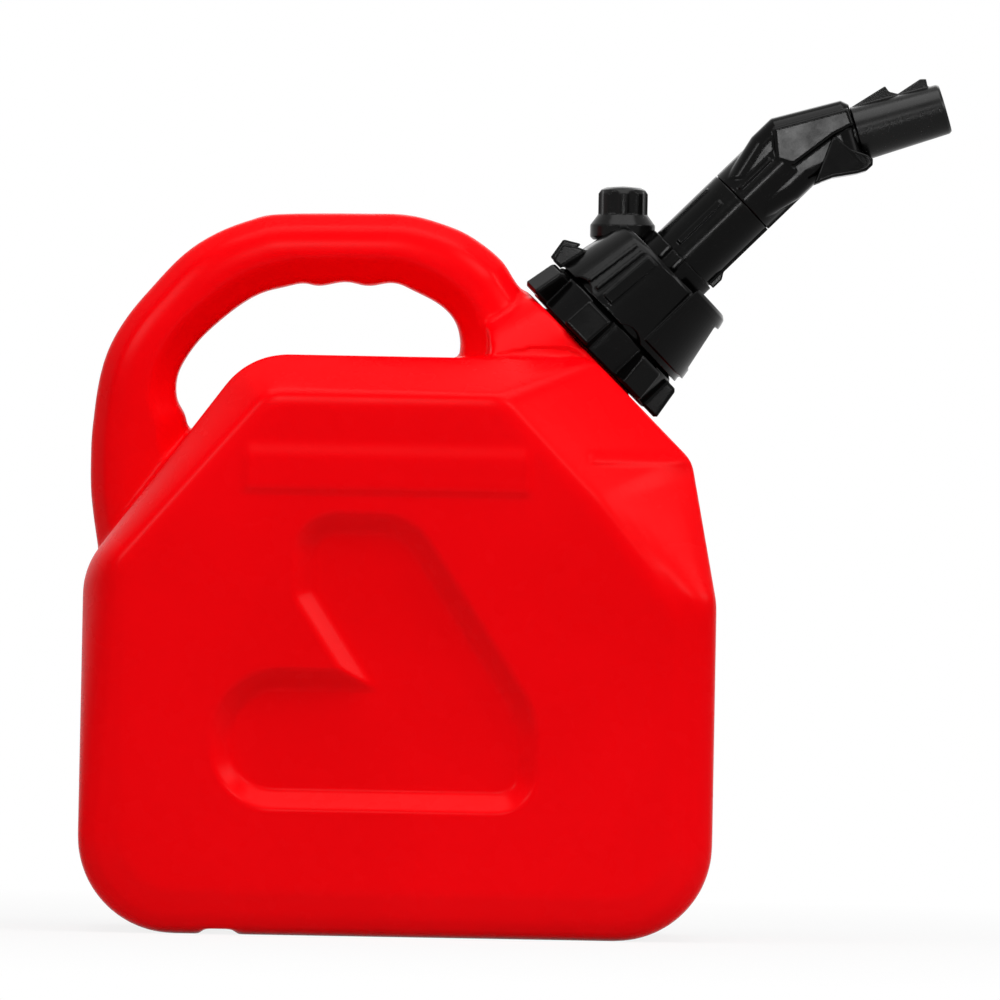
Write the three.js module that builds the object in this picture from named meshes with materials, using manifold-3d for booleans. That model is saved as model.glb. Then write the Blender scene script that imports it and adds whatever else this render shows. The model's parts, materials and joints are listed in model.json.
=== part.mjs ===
// Fuel can with a pouring spout, millimetres, +Z up, +X towards the spout.
// The origin is on the ground, in the middle of the base.
import * as THREE from 'three';
import { mergeVertices } from 'three/addons/utils/BufferGeometryUtils.js';
import Module from 'manifold-3d';

const wasm = await Module();
wasm.setup();

// Driving dimensions of the can
const body_width = 277;
const body_height = 253.6;
const body_depth = 158;
const wall = 2.5;
const side_bend_z = 147.8;
const side_lean = 0.187;
const chamfer_foot_z = 158.7;
const chamfer_top_x = -67.4;
const foot_round = 42;
const corner_round = 34;
const side_round = 13;
const shoulder_band = 16.5;
const shoulder_drop = 25;
const neck_drop = 37;
const face_edge_round = 5;
const recess_depth = 7;
const recess_slope = 10;
const channel_half_width = 8;
const channel_rise = 2.3;
const handle_lift = 1.9;
const handle_rise = 61;
const handle_depth = 42;
const handle_round = 12;

// Driving dimensions of the neck and of the ring that turns on it
const neck_inset = 58.65;
const neck_step = 3.6;
const neck_tilt = Math.PI / 4;
const neck_radius = 25;
const neck_bore = 22;
const neck_height = 14.5;
const boss_radius = 38;
const boss_depth = 36;
const flange_thickness = 3.2;
const flange_lip = 1.4;
const column_radius = 19.5;
const column_wall = 2.6;
const ring_low = 1;
const ring_wall = 2.4;
const ring_top_thickness = 3.1;
const ring_skirt_height = 17.6;
const ring_skirt_radius = 34.5;
const lug_count = 7;
const lug_reach = 7.5;
const lug_lean = 2.4;
const lug_height = 15.4;
const lug_half_width = 7;

// Driving dimensions of the spout, with heights along the axis of the neck
const shroud_base_z = 19.2;
const shroud_top_z = 50;
const shroud_room = 4.66;
const shroud_flare = 0.2;
const shroud_wall = 2.2;
const sleeve_radius = 16.2;
const sleeve_wall = 1.9;
const sleeve_foot_z = 64;
const sleeve_top_z = 95;
const sleeve_travel = 9;
const guide_radius = 12.8;
const guide_wall = 1.8;
const ledge_z = 117;
const elbow_z = 126.6;
const elbow_bend = 0.4835;
const elbow_half_width = 14.5;
const elbow_half_height = 16;
const elbow_bevel = 4;
const nozzle_start = 29;
const nozzle_length = 40.6;
const nozzle_root_radius = 12.2;
const nozzle_tip_radius = 11.2;
const nozzle_bore = 8.8;

// Driving dimensions of the vent knob, which stands on the shroud beside the sleeve
const knob_ahead = 15.05;
const knob_side = 9;
const knob_above = 49.75;
const knob_radius = 14.3;
const crown_radius = 10.9;

// Clearances: seats of fixed pieces, turning and sliding fits, pins in holes, and what a cut runs past
const seat = 0.3;
const turning_gap = 0.6;
const sliding_gap = 0.2;
const pin_gap = 0.06;
const overrun = 1;

const RED = { color: 0xd8000c, roughness: 0.38, metalness: 0 };
const BLACK = { color: 0x141516, roughness: 0.35, metalness: 0 };
const RUBBER = { color: 0x24242a, roughness: 0.8, metalness: 0 };
const STEEL = { color: 0xb9bcc0, roughness: 0.3, metalness: 1 };
const NATURAL = { color: 0xd9d6cb, roughness: 0.5, metalness: 0 };

// Joining and cutting of closed meshes
const weld = 1e-4;
function solid(geometry, matrix) {
  const bare = geometry.index ? geometry.toNonIndexed() : geometry.clone();
  bare.deleteAttribute('normal');
  bare.deleteAttribute('uv');
  if (matrix) bare.applyMatrix4(matrix);
  const merged = mergeVertices(bare, weld);
  const mesh = new wasm.Mesh({
    numProp: 3,
    vertProperties: new Float32Array(merged.attributes.position.array),
    triVerts: new Uint32Array(merged.index.array),
  });
  mesh.merge();
  return new wasm.Manifold(mesh);
}

function geometryOf(shape) {
  const mesh = shape.getMesh();
  const geometry = new THREE.BufferGeometry();
  geometry.setAttribute('position', new THREE.BufferAttribute(new Float32Array(mesh.vertProperties), 3));
  geometry.setIndex(new THREE.BufferAttribute(new Uint32Array(mesh.triVerts), 1));
  geometry.computeVertexNormals();
  return geometry;
}

function moved(x, y, z, turn = new THREE.Euler()) {
  const spin = new THREE.Quaternion().setFromEuler(turn);
  return new THREE.Matrix4().compose(new THREE.Vector3(x, y, z), spin, new THREE.Vector3(1, 1, 1));
}

// Turn about the axis of a piece: 0 faces +X
function about(angle) {
  return moved(0, 0, 0, new THREE.Euler(0, 0, angle));
}

function named(name, geometry, look) {
  const mesh = new THREE.Mesh(geometry, new THREE.MeshStandardMaterial(look));
  mesh.name = name;
  return mesh;
}

// Revolved piece about Z from a closed profile of [radius, height] points
const ROUND_SIDES = 32;
const INNER_SIDES = 20;
function revolved(profile, sides = ROUND_SIDES) {
  const points = profile.map(([r, z]) => new THREE.Vector2(r, z));
  points.push(points[0].clone());
  const geometry = new THREE.LatheGeometry(points, sides);
  geometry.rotateX(Math.PI / 2);
  return geometry;
}

function tubeProfile(inner, outer, low, high) {
  return [[inner, low], [outer, low], [outer, high], [inner, high]];
}

function ringSolid(inner, outer, low, high, sides = ROUND_SIDES) {
  return solid(revolved(tubeProfile(inner, outer, low, high), sides));
}

function rod(radius, low, high, sides = ROUND_SIDES) {
  const geometry = new THREE.CylinderGeometry(radius, radius, high - low, sides);
  geometry.rotateX(Math.PI / 2);
  geometry.translate(0, 0, (low + high) / 2);
  return geometry;
}

function block(lowX, highX, lowY, highY, lowZ, highZ) {
  const geometry = new THREE.BoxGeometry(highX - lowX, highY - lowY, highZ - lowZ);
  geometry.translate((lowX + highX) / 2, (lowY + highY) / 2, (lowZ + highZ) / 2);
  return geometry;
}

// Plate with its outline in the XZ plane, spread evenly on both sides of Y = 0
function plate(outline, halfWidth, bevel = 0) {
  const shape = new THREE.Shape(outline.map(([x, z]) => new THREE.Vector2(x, z)));
  const depth = 2 * (halfWidth - bevel);
  const geometry = new THREE.ExtrudeGeometry(shape, {
    depth,
    bevelEnabled: bevel > 0,
    bevelThickness: bevel,
    bevelSize: bevel,
    bevelOffset: -bevel,
    bevelSegments: 2,
  });
  geometry.translate(0, 0, -depth / 2);
  geometry.rotateX(Math.PI / 2);
  return geometry;
}

// Outlines with round corners, all with the same number of points
const ARC_STEPS = 5;
const least_round = 1;
const least_round_share = 0.2;
const longest_arc_share = 0.48;
function insetCorners(corners, inset) {
  const edges = corners.map((corner, i) => {
    const next = corners[(i + 1) % corners.length];
    const dx = next.x - corner.x;
    const dz = next.z - corner.z;
    const length = Math.hypot(dx, dz);
    return { x: corner.x - (dz / length) * inset, z: corner.z + (dx / length) * inset, dx, dz };
  });
  return corners.map((corner, i) => {
    const b = edges[i];
    const a = edges[(i + corners.length - 1) % corners.length];
    const cross = a.dx * b.dz - a.dz * b.dx;
    const t = ((b.x - a.x) * b.dz - (b.z - a.z) * b.dx) / cross;
    const radius = Math.max(corner.radius - inset, least_round + least_round_share * corner.radius);
    return { ...corner, x: a.x + a.dx * t, z: a.z + a.dz * t, radius };
  });
}

function roundOutline(corners) {
  return corners.flatMap((corner, i) => {
    const before = corners[(i + corners.length - 1) % corners.length];
    const after = corners[(i + 1) % corners.length];
    const here = new THREE.Vector2(corner.x, corner.z);
    const back = new THREE.Vector2(before.x, before.z).sub(here);
    const ahead = new THREE.Vector2(after.x, after.z).sub(here);
    const halfAngle = Math.acos(back.clone().normalize().dot(ahead.clone().normalize())) / 2;
    const longest = longest_arc_share * Math.min(back.length(), ahead.length());
    const reach = Math.min(corner.radius / Math.tan(halfAngle), longest);
    const start = here.clone().add(back.clone().setLength(reach));
    const end = here.clone().add(ahead.clone().setLength(reach));
    const weight = Math.sin(halfAngle);
    return Array.from({ length: ARC_STEPS }, (_, k) => {
      const t = k / (ARC_STEPS - 1);
      const w0 = (1 - t) * (1 - t);
      const w1 = 2 * t * (1 - t) * weight;
      const w2 = t * t;
      const sum = w0 + w1 + w2;
      return {
        x: (start.x * w0 + here.x * w1 + end.x * w2) / sum,
        z: (start.y * w0 + here.y * w1 + end.y * w2) / sum,
        corner: i,
      };
    });
  });
}

// Closed body through rings of equal length, each ring a list of [x, y, z]
function loft(rings) {
  const count = rings[0].length;
  const positions = rings.flat(2);
  const index = [];
  rings.slice(1).forEach((_, k) => {
    const low = k * count;
    const high = low + count;
    for (let i = 0; i < count; i += 1) {
      const j = (i + 1) % count;
      index.push(low + i, high + i, low + j, low + j, high + i, high + j);
    }
  });
  const flat = ([x, , z]) => new THREE.Vector2(x, z);
  const cap = (ring) => THREE.ShapeUtils.triangulateShape(ring.map(flat), []);
  const last = (rings.length - 1) * count;
  cap(rings[0]).forEach(([a, b, c]) => index.push(a, b, c));
  cap(rings[rings.length - 1]).forEach(([a, b, c]) => index.push(last + a, last + c, last + b));
  const geometry = new THREE.BufferGeometry();
  geometry.setAttribute('position', new THREE.Float32BufferAttribute(positions, 3));
  geometry.setIndex(index);
  return geometry;
}

// Main tank: a ridge outline on the broad faces, and an outer outline that is set back from them.
// The band between the two is round at the sides and below, and flat on the shoulders.
const half_width = body_width / 2;
const half_depth = body_depth / 2;
const neck_axis_x = half_width - neck_inset;
const neck_z = body_height + neck_step;
const facet_sum = neck_axis_x + neck_z;
const lean_top_z = (facet_sum - half_width - side_lean * side_bend_z) / (1 - side_lean);
const lean_top_x = facet_sum - lean_top_z;

function outerCorners() {
  return [
    { x: -half_width, z: 0, radius: foot_round, drop: side_round, roundness: 1 },
    { x: half_width, z: 0, radius: foot_round, drop: side_round, roundness: 1 },
    { x: half_width, z: side_bend_z, radius: corner_round, drop: side_round, roundness: 1 },
    { x: lean_top_x, z: lean_top_z, radius: side_round, drop: neck_drop, roundness: 0.15 },
    { x: facet_sum - body_height, z: body_height, radius: side_round, drop: neck_drop, roundness: 0.1 },
    { x: chamfer_top_x, z: body_height, radius: corner_round, drop: shoulder_drop, roundness: 0.1 },
    { x: -half_width, z: chamfer_foot_z, radius: corner_round, drop: shoulder_drop, roundness: 0.5 },
  ];
}

const ridge_top_share = 0.55;
function ridgeCorners() {
  const top = body_height - shoulder_band;
  const foot_x = half_width - side_round;
  const foot_z = side_bend_z - side_round / 4;
  const top_x = ridge_top_share * neck_axis_x;
  const bulge = side_round / 8;
  return [
    { x: -foot_x, z: side_round, radius: foot_round - side_round },
    { x: foot_x, z: side_round, radius: foot_round - side_round },
    { x: foot_x, z: foot_z, radius: corner_round - side_round },
    { x: (foot_x + top_x) / 2 + bulge, z: (foot_z + top) / 2 + bulge, radius: corner_round },
    { x: top_x, z: top, radius: side_round },
    { x: chamfer_top_x + shoulder_band / 2, z: top, radius: side_round },
    { x: -foot_x, z: chamfer_foot_z + side_round / 4, radius: side_round },
  ];
}

const BAND_SHARES = [0, 0.35, 0.7, 1];
function tankHull(inset) {
  const outer = roundOutline(insetCorners(outerCorners(), inset));
  const ridge = roundOutline(insetCorners(ridgeCorners(), inset));
  const face = roundOutline(insetCorners(ridgeCorners(), inset + face_edge_round));
  const depth = half_depth - inset;
  const settings = outerCorners();
  const band = BAND_SHARES.map((share) => outer.map((point, i) => {
    const { drop, roundness } = settings[point.corner];
    const angle = share * Math.PI / 2;
    const along = share + (Math.sin(angle) - share) * roundness;
    const down = share + (1 - Math.cos(angle) - share) * roundness;
    const x = ridge[i].x + (point.x - ridge[i].x) * along;
    const z = ridge[i].z + (point.z - ridge[i].z) * along;
    return [x, -(depth - face_edge_round / 4) + (drop - face_edge_round / 4) * down, z];
  }));
  const front = [face.map(({ x, z }) => [x, -depth, z]), ...band];
  const back = front.map((ring) => ring.map(([x, y, z]) => [x, -y, z])).reverse();
  return solid(loft([...front, ...back]));
}

// Stiffening recess of the broad faces: two lobes that meet at a notch, as shares of the half width, of the
// height and of the corner rounding
const RECESS_LOBE_SHARES = [
  [[-0.329, 0.728, 0.7], [-0.329, 0.584, 0.5], [0.2, 0.234, 0.6], [0.443, 0.234, 0.7], [0.443, 0.389, 1.1],
    [0.04, 0.728, 0.8]],
  [[-0.586, 0.451, 0.5], [-0.586, 0.206, 0.8], [0.443, 0.206, 0.8], [0.443, 0.36, 0.6], [0.29, 0.451, 0.6]],
];
function recessCutter(side, extra) {
  const slope = recess_slope / recess_depth;
  const levels = [half_depth - recess_depth - extra, half_depth + overrun];
  const insets = [recess_slope - extra, -extra - overrun * slope];
  const lobes = RECESS_LOBE_SHARES.map((lobe) => {
    const corners = lobe.map(([x, z, round]) => (
      { x: x * half_width, z: z * body_height, radius: round * corner_round }));
    const rings = levels.map((level, k) => (
      roundOutline(insetCorners(corners, insets[k])).map(({ x, z }) => [x, side * level, z])));
    return solid(loft(side > 0 ? rings : rings.reverse()));
  });
  return lobes[0].add(lobes[1]);
}

// Handle loop: outer line and finger hole, as shares of the half width and of the rise above its base
const HANDLE_OUTER_SHARES = [
  [-0.95, -1.6], [-0.985, -1.1], [-0.99, -0.76], [-0.985, -0.54], [-0.968, -0.236], [-0.938, 0],
  [-0.884, 0.22], [-0.81, 0.43], [-0.709, 0.677], [-0.609, 0.833], [-0.497, 0.938], [-0.4, 0.985],
  [-0.1, 1], [0.018, 0.99],
  [0.132, 0.92], [0.211, 0.838], [0.3, 0.684], [0.35, 0.52], [0.44, 0.25],
];
const HANDLE_ROOT_SHARES = [[0.35, -0.5], [-0.6, -1.6]];
const HANDLE_HOLE_SHARES = [
  [-0.664, -0.505], [-0.69, -0.477], [-0.713, -0.398], [-0.723, -0.326], [-0.72, -0.197], [-0.694, -0.066],
  [-0.644, 0.087], [-0.567, 0.249], [-0.501, 0.36], [-0.449, 0.42], [-0.386, 0.459], [-0.324, 0.49],
  [-0.276, 0.47], [-0.191, 0.505], [-0.119, 0.477], [-0.038, 0.505], [0.026, 0.447], [0.096, 0.37],
  [0.14, 0.29], [0.165, 0.2], [0.176, 0.08], [0.17, 0], [0.16, -0.2],
];
function handleSolid(inset) {
  const base_z = body_height + handle_lift;
  const place = ([x, z]) => new THREE.Vector2(x * half_width, base_z + z * handle_rise);
  const outer = new THREE.SplineCurve(HANDLE_OUTER_SHARES.map(place)).getPoints(26);
  const hole = new THREE.SplineCurve(HANDLE_HOLE_SHARES.map(place)).getPoints(28);
  const shape = new THREE.Shape([...outer, ...HANDLE_ROOT_SHARES.map(place)]);
  shape.holes.push(new THREE.Path(hole.reverse()));
  const bevel = handle_round - inset;
  const depth = handle_depth - 2 * handle_round;
  const geometry = new THREE.ExtrudeGeometry(shape, {
    depth,
    bevelEnabled: true,
    bevelThickness: bevel,
    bevelSize: bevel,
    bevelOffset: -handle_round,
    bevelSegments: 2,
  });
  geometry.translate(0, 0, -depth / 2);
  geometry.rotateX(Math.PI / 2);
  return solid(geometry);
}

// Frame of the neck: Z runs out along its axis, X points down and to the right
const neckMatrix = moved(neck_axis_x, 0, neck_z, new THREE.Euler(0, neck_tilt, 0));

// Channel across the base, near the back
const channel_place_share = -0.55;
function channel(extra) {
  const middle = channel_place_share * half_width;
  const half = channel_half_width + extra;
  const reach = half_depth + overrun;
  return solid(block(middle - half, middle + half, -reach, reach, -overrun, channel_rise + extra));
}

function bossSolid(extra) {
  return solid(rod(boss_radius + extra, -boss_depth - extra, extra), neckMatrix);
}

function neckSolid(extra) {
  return solid(rod(neck_radius + extra, -boss_depth, neck_height + extra), neckMatrix);
}

// Inside of the boss and of the neck, through which the tank is filled
function fillingWay() {
  return bossSolid(-wall).add(solid(rod(neck_bore, -boss_depth, neck_height + overrun), neckMatrix));
}

function canBody() {
  let outer = tankHull(0);
  let inner = tankHull(wall).add(fillingWay());
  [-1, 1].forEach((side) => {
    outer = outer.subtract(recessCutter(side, 0));
    inner = inner.subtract(recessCutter(side, wall));
  });
  outer = outer.subtract(channel(0));
  inner = inner.subtract(channel(wall));
  return named('can_body', geometryOf(outer.subtract(inner)), RED);
}

// Neck and the half of its boss that stands clear of the tank
function canNeck() {
  const shell = bossSolid(0).add(neckSolid(0)).subtract(fillingWay());
  return named('can_neck', geometryOf(shell.subtract(tankHull(-seat))), RED);
}

// Hollow handle, open at both roots towards the tank that it is moulded with
function canHandle() {
  const shell = handleSolid(0).subtract(handleSolid(wall));
  const grip = shell.subtract(tankHull(-seat)).subtract(bossSolid(seat)).subtract(neckSolid(seat));
  return named('can_handle', geometryOf(grip), RED);
}

// Strainer that hangs in the neck from a thin rim
const screen_gap = 1.2;
const screen_rim = 1;
const screen_radius = neck_bore - screen_gap;
const screen_wall = 1.2;
const screen_drop = 30;
const screen_slots = 8;
function flameScreen() {
  const low = neck_height - screen_drop;
  const rim_low = neck_height + seat;
  const rim_high = rim_low + screen_rim;
  const floor_high = low + screen_wall;
  let shape = solid(revolved([
    [0, low], [screen_radius, low], [screen_radius, rim_low], [neck_radius, rim_low],
    [neck_radius, rim_high],
    [screen_radius - screen_wall, rim_high], [screen_radius - screen_wall, floor_high], [0, floor_high],
  ], INNER_SIDES));
  const band = 4 * screen_wall;
  for (let i = 0; i < screen_slots; i += 1) {
    const cut = block(-neck_radius, neck_radius, -screen_wall, screen_wall, low + band, neck_height - band);
    shape = shape.subtract(solid(cut, about((i * Math.PI) / screen_slots)));
  }
  return named('flame_screen', geometryOf(shape), BLACK);
}

const gasket_thickness = 2;
const gasket_z = neck_height + seat + screen_rim + seat;
function neckGasket() {
  return named('neck_gasket', revolved(tubeProfile(screen_radius, neck_radius, gasket_z,
    gasket_z + gasket_thickness), INNER_SIDES), RUBBER);
}

// Turning ring: wide skirt with leaning lugs below, narrow part under the shroud above
const flange_z = gasket_z + gasket_thickness + seat;
const flange_top_z = flange_z + flange_thickness;
const flange_radius = neck_radius + flange_lip;
const ring_bore = flange_radius + turning_gap;
const ring_neck_radius = ring_bore + ring_wall;
const ring_top_low = flange_top_z + seat;
const ring_edge = 1;
const lug_chamfer = 1.2;
const lug_lift = 0.6;
function collarRing() {
  const skirt_high = ring_low + ring_skirt_height;
  const top = ring_top_low + ring_top_thickness;
  const collar_bore = column_radius + turning_gap;
  let shape = solid(revolved([
    [ring_bore, ring_low], [ring_skirt_radius, ring_low], [ring_skirt_radius, skirt_high - ring_edge],
    [ring_skirt_radius - ring_edge, skirt_high], [ring_neck_radius, skirt_high], [ring_neck_radius, top],
    [collar_bore, top], [collar_bore, ring_top_low], [ring_bore, ring_top_low],
  ]));
  const root = ring_skirt_radius - ring_wall;
  const low = ring_low + lug_lift;
  const high = low + lug_height;
  const reach = ring_skirt_radius + lug_reach;
  const lug = plate([[root, low], [reach - lug_chamfer, low], [reach, low + lug_chamfer],
    [reach - lug_lean, high - lug_chamfer], [reach - lug_lean - lug_chamfer, high], [root, high]],
  lug_half_width);
  for (let i = 0; i < lug_count; i += 1) {
    shape = shape.add(solid(lug, about((i * 2 * Math.PI) / lug_count)));
  }
  return named('collar_ring', geometryOf(shape), BLACK);
}

// Spout base: flange, column, guide tube with four short ribs, and the socket that the sleeve sinks into
const knob_x = neck_axis_x + knob_ahead;
const knob_z = neck_z + knob_above;
const toNeck = neckMatrix.clone().invert().toArray();
const sleeve_bore = sleeve_radius - sleeve_wall;
const rib_rise = 0.8;
const keel_half_width = 4.6;
const guide_spigot = 3;
const guide_top_z = sleeve_top_z - guide_spigot;
const guide_bore = guide_radius - guide_wall;
const guide_rib_half = 1.2;
const guide_rib_gap = 1.5;
const oring_drop = 12;
const oring_low = guide_top_z - oring_drop;
const oring_height = 2.4;
const oring_groove = 1;
const socket_bore_radius = sleeve_radius + rib_rise + sliding_gap;
const socket_wall = 1.2;
const socket_gap = 0.8;
const foot_gap = 0.8;
const foot_low_z = shroud_top_z + sleeve_travel + foot_gap;
const socket_top_z = foot_low_z - socket_gap;
const deck_thickness = 2.5;
const deck_sink = 1.5;
const cap_gap = 0.5;

// Room for the vent knob above its seat, in the frame of the neck
function capRoom() {
  const room = rod(knob_radius + cap_gap, knob_z - cap_gap, knob_z + shroud_top_z, 32);
  return solid(room, moved(knob_x, knob_side, 0)).transform(toNeck);
}

function spoutBase() {
  const bore = column_radius - column_wall;
  const guide_low = shroud_top_z - deck_thickness - deck_sink;
  const groove = guide_radius - oring_groove;
  const groove_low = oring_low - seat;
  const groove_high = oring_low + oring_height + seat;
  let shape = solid(revolved([
    [bore, flange_z], [flange_radius, flange_z], [flange_radius, flange_top_z],
    [column_radius, flange_top_z], [column_radius, shroud_top_z], [guide_radius, shroud_top_z],
    [guide_radius, groove_low], [groove, groove_low], [groove, groove_high], [guide_radius, groove_high],
    [guide_radius, guide_top_z], [guide_bore, guide_top_z], [guide_bore, guide_low], [bore, guide_low],
  ]));
  const rib_reach = sleeve_bore - seat;
  const rib_root = guide_radius - guide_wall / 2;
  const root_z = shroud_top_z - overrun;
  const rib_top = sleeve_foot_z - guide_rib_gap;
  for (let i = 0; i < 4; i += 1) {
    const rib = block(rib_root, rib_reach, -guide_rib_half, guide_rib_half, root_z, rib_top);
    shape = shape.add(solid(rib, about(((2 * i + 1) * Math.PI) / 4)));
  }
  let socket = ringSolid(socket_bore_radius, socket_bore_radius + socket_wall, root_z, socket_top_z);
  const slot_half = keel_half_width + turning_gap;
  const slot = block(0, column_radius, -slot_half, slot_half, shroud_top_z, socket_top_z + overrun);
  socket = socket.subtract(solid(slot));
  socket = socket.subtract(capRoom());
  return named('spout_base', geometryOf(shape.add(socket)), BLACK);
}

// Shroud: a cone over the ring, with ribs, a grip wing on the far side and a stub for the vent
const shroud_base_radius = ring_neck_radius + shroud_room + shroud_wall;
const shroud_top_radius = shroud_base_radius - (shroud_top_z - shroud_base_z) * shroud_flare;
const shroud_lip = 3;
const shroud_edge = 1;
const deck_low = shroud_top_z - deck_thickness - deck_sink;
const wing_edge = 14.2;
const wing_rise = 4.6;
const wing_reach = 2.6;
const wing_foot = 3;
const wing_foot_reach = 1.4;
const wing_round = 4;
const grip_sink = 1.6;
const grip_top_gap = 6;
const grip_foot_gap = 8;
const scallop_radius = 9;
const scallop_rise = 2.6;
const shroud_rib_rise = 1.2;
const shroud_rib_foot = 3.5;
const shroud_rib_top = 1.5;
const SHROUD_RIB_TURN_SHARES = [-0.205, -0.155, -0.09];
const shroud_rib_half = 0.9;
const shroud_bar_half = 2.6;
const stub_radius = 8.6;
const stub_bore = 3;
const stub_height = 8;
const stub_root = 14;
const stub_top = knob_z + stub_height;
const tab_half_width = 8;
const tab_pivot_z = 22.6;
const tab_gap = 1.94;
const tab_pivot_reach = shroud_base_radius + tab_gap;
const tab_pin_radius = 1.2;
const ear_thickness = 2.1;
const ear_reach = 2.2;

// Hole or pin of the release tab
function tabBore(radius, reach) {
  const bore = rod(radius, -reach, reach, 16);
  bore.rotateX(Math.PI / 2);
  bore.translate(-tab_pivot_reach, 0, tab_pivot_z);
  return bore;
}

function grippingWing() {
  const inner_base = shroud_base_radius - shroud_wall;
  const top = shroud_top_z + wing_rise;
  const foot = shroud_base_z + wing_foot;
  const band = solid(revolved([
    [inner_base + shroud_edge, foot], [shroud_base_radius + wing_foot_reach, foot],
    [shroud_top_radius + wing_reach, top - wing_round], [shroud_top_radius, top],
    [shroud_top_radius - shroud_lip, top], [shroud_top_radius - shroud_wall, deck_low],
  ]));
  const far = 2 * shroud_base_radius;
  const wing = band.intersect(solid(block(wing_edge, far, -far, far, 0, far)));
  const pad_top = top - grip_top_gap;
  const pad_foot = shroud_base_z + grip_foot_gap;
  const pad = plate([[shroud_top_radius + wing_reach - grip_sink, pad_top], [far, pad_top], [far, pad_foot],
    [shroud_base_radius + wing_foot_reach - grip_sink, pad_foot]], wing_edge);
  return wing.subtract(solid(pad));
}

function ventStub() {
  const keep_out = ringSolid(0, column_radius + seat, 0, 2 * shroud_top_z);
  const post = rod(stub_radius, knob_z - stub_root, stub_top, 24);
  const stub = solid(post, moved(knob_x, knob_side, 0)).transform(toNeck);
  const far = 2 * shroud_base_radius;
  const above = solid(block(-far, far, -far, far, deck_low, 2 * shroud_top_z));
  return stub.intersect(above).subtract(keep_out);
}

function spoutShroud() {
  const inner_top = shroud_top_radius - shroud_wall;
  const inner_base = shroud_base_radius - shroud_wall;
  const deck_bore = column_radius + seat;
  const deck_high = deck_low + deck_thickness;
  let shape = solid(revolved([
    [deck_bore, deck_low], [inner_top, deck_low], [inner_base, shroud_base_z],
    [shroud_base_radius, shroud_base_z], [shroud_top_radius, shroud_top_z - shroud_edge],
    [shroud_top_radius - shroud_edge, shroud_top_z], [shroud_top_radius - shroud_lip, shroud_top_z],
    [shroud_top_radius - shroud_lip, deck_high], [deck_bore, deck_high],
  ]));
  shape = shape.add(grippingWing());
  const rib_top = shroud_top_z - shroud_rib_top;
  const rib_foot = shroud_base_z + shroud_rib_foot;
  [-1, 1].forEach((side) => {
    SHROUD_RIB_TURN_SHARES.forEach((turn_share, k) => {
      const half = k < 2 ? shroud_rib_half : shroud_bar_half;
      const top_reach = shroud_top_radius + shroud_rib_rise;
      const foot_reach = shroud_base_radius + shroud_rib_rise / 2;
      const rib = plate([[inner_top + shroud_wall / 2, rib_top], [top_reach, rib_top],
        [foot_reach, rib_foot], [inner_base + shroud_wall / 2, rib_foot]], half);
      shape = shape.add(solid(rib, about(side * (Math.PI / 2 - turn_share * Math.PI))));
    });
  });
  const notch = rod(scallop_radius, inner_base - shroud_wall, shroud_base_radius + shroud_wall, 16);
  notch.rotateY(Math.PI / 2);
  notch.translate(0, 0, shroud_base_z - scallop_radius + scallop_rise);
  for (let i = 0; i < lug_count; i += 1) {
    const angle = ((i + 0.5) * 2 * Math.PI) / lug_count;
    if (i !== (lug_count - 1) / 2) shape = shape.subtract(solid(notch, about(angle)));
  }
  const ear_low = tab_half_width + seat;
  const ear = block(-tab_pivot_reach - ear_reach, -inner_base, ear_low, ear_low + ear_thickness,
    tab_pivot_z - ear_reach, tab_pivot_z + ear_reach);
  [0, -2 * ear_low - ear_thickness].forEach((shift) => {
    shape = shape.add(solid(ear, moved(0, shift, 0)));
  });
  shape = shape.subtract(solid(tabBore(tab_pin_radius + pin_gap, 2 * tab_half_width)));
  shape = shape.subtract(capRoom()).add(ventStub());
  const bore = rod(stub_bore, knob_z - 2 * stub_root, stub_top + overrun, 16);
  const vent = solid(bore, moved(knob_x, knob_side, 0)).transform(toNeck);
  return named('spout_shroud', geometryOf(shape.subtract(vent)), BLACK);
}

// Release tab with its pin: a wedge whose top is pressed towards the shroud. Shares of its height.
const tab_height = 11;
const TAB_SHARES = [
  [0.127, -0.218], [-0.2, -0.218], [-0.409, 0.382], [-0.364, 0.455], [0.164, 0.782], [0.218, 0.745],
  [0.182, 0.309],
];
function releaseTab() {
  const place = ([x, z]) => [x * tab_height - tab_pivot_reach, z * tab_height + tab_pivot_z];
  const wedge = solid(plate(TAB_SHARES.map(place), tab_half_width));
  const hole = solid(tabBore(tab_pin_radius + pin_gap, 2 * tab_half_width));
  return named('release_tab', geometryOf(wedge.subtract(hole)), BLACK);
}

function tabPin() {
  return named('tab_pin', tabBore(tab_pin_radius, tab_half_width + seat + ear_thickness), STEEL);
}

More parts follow.
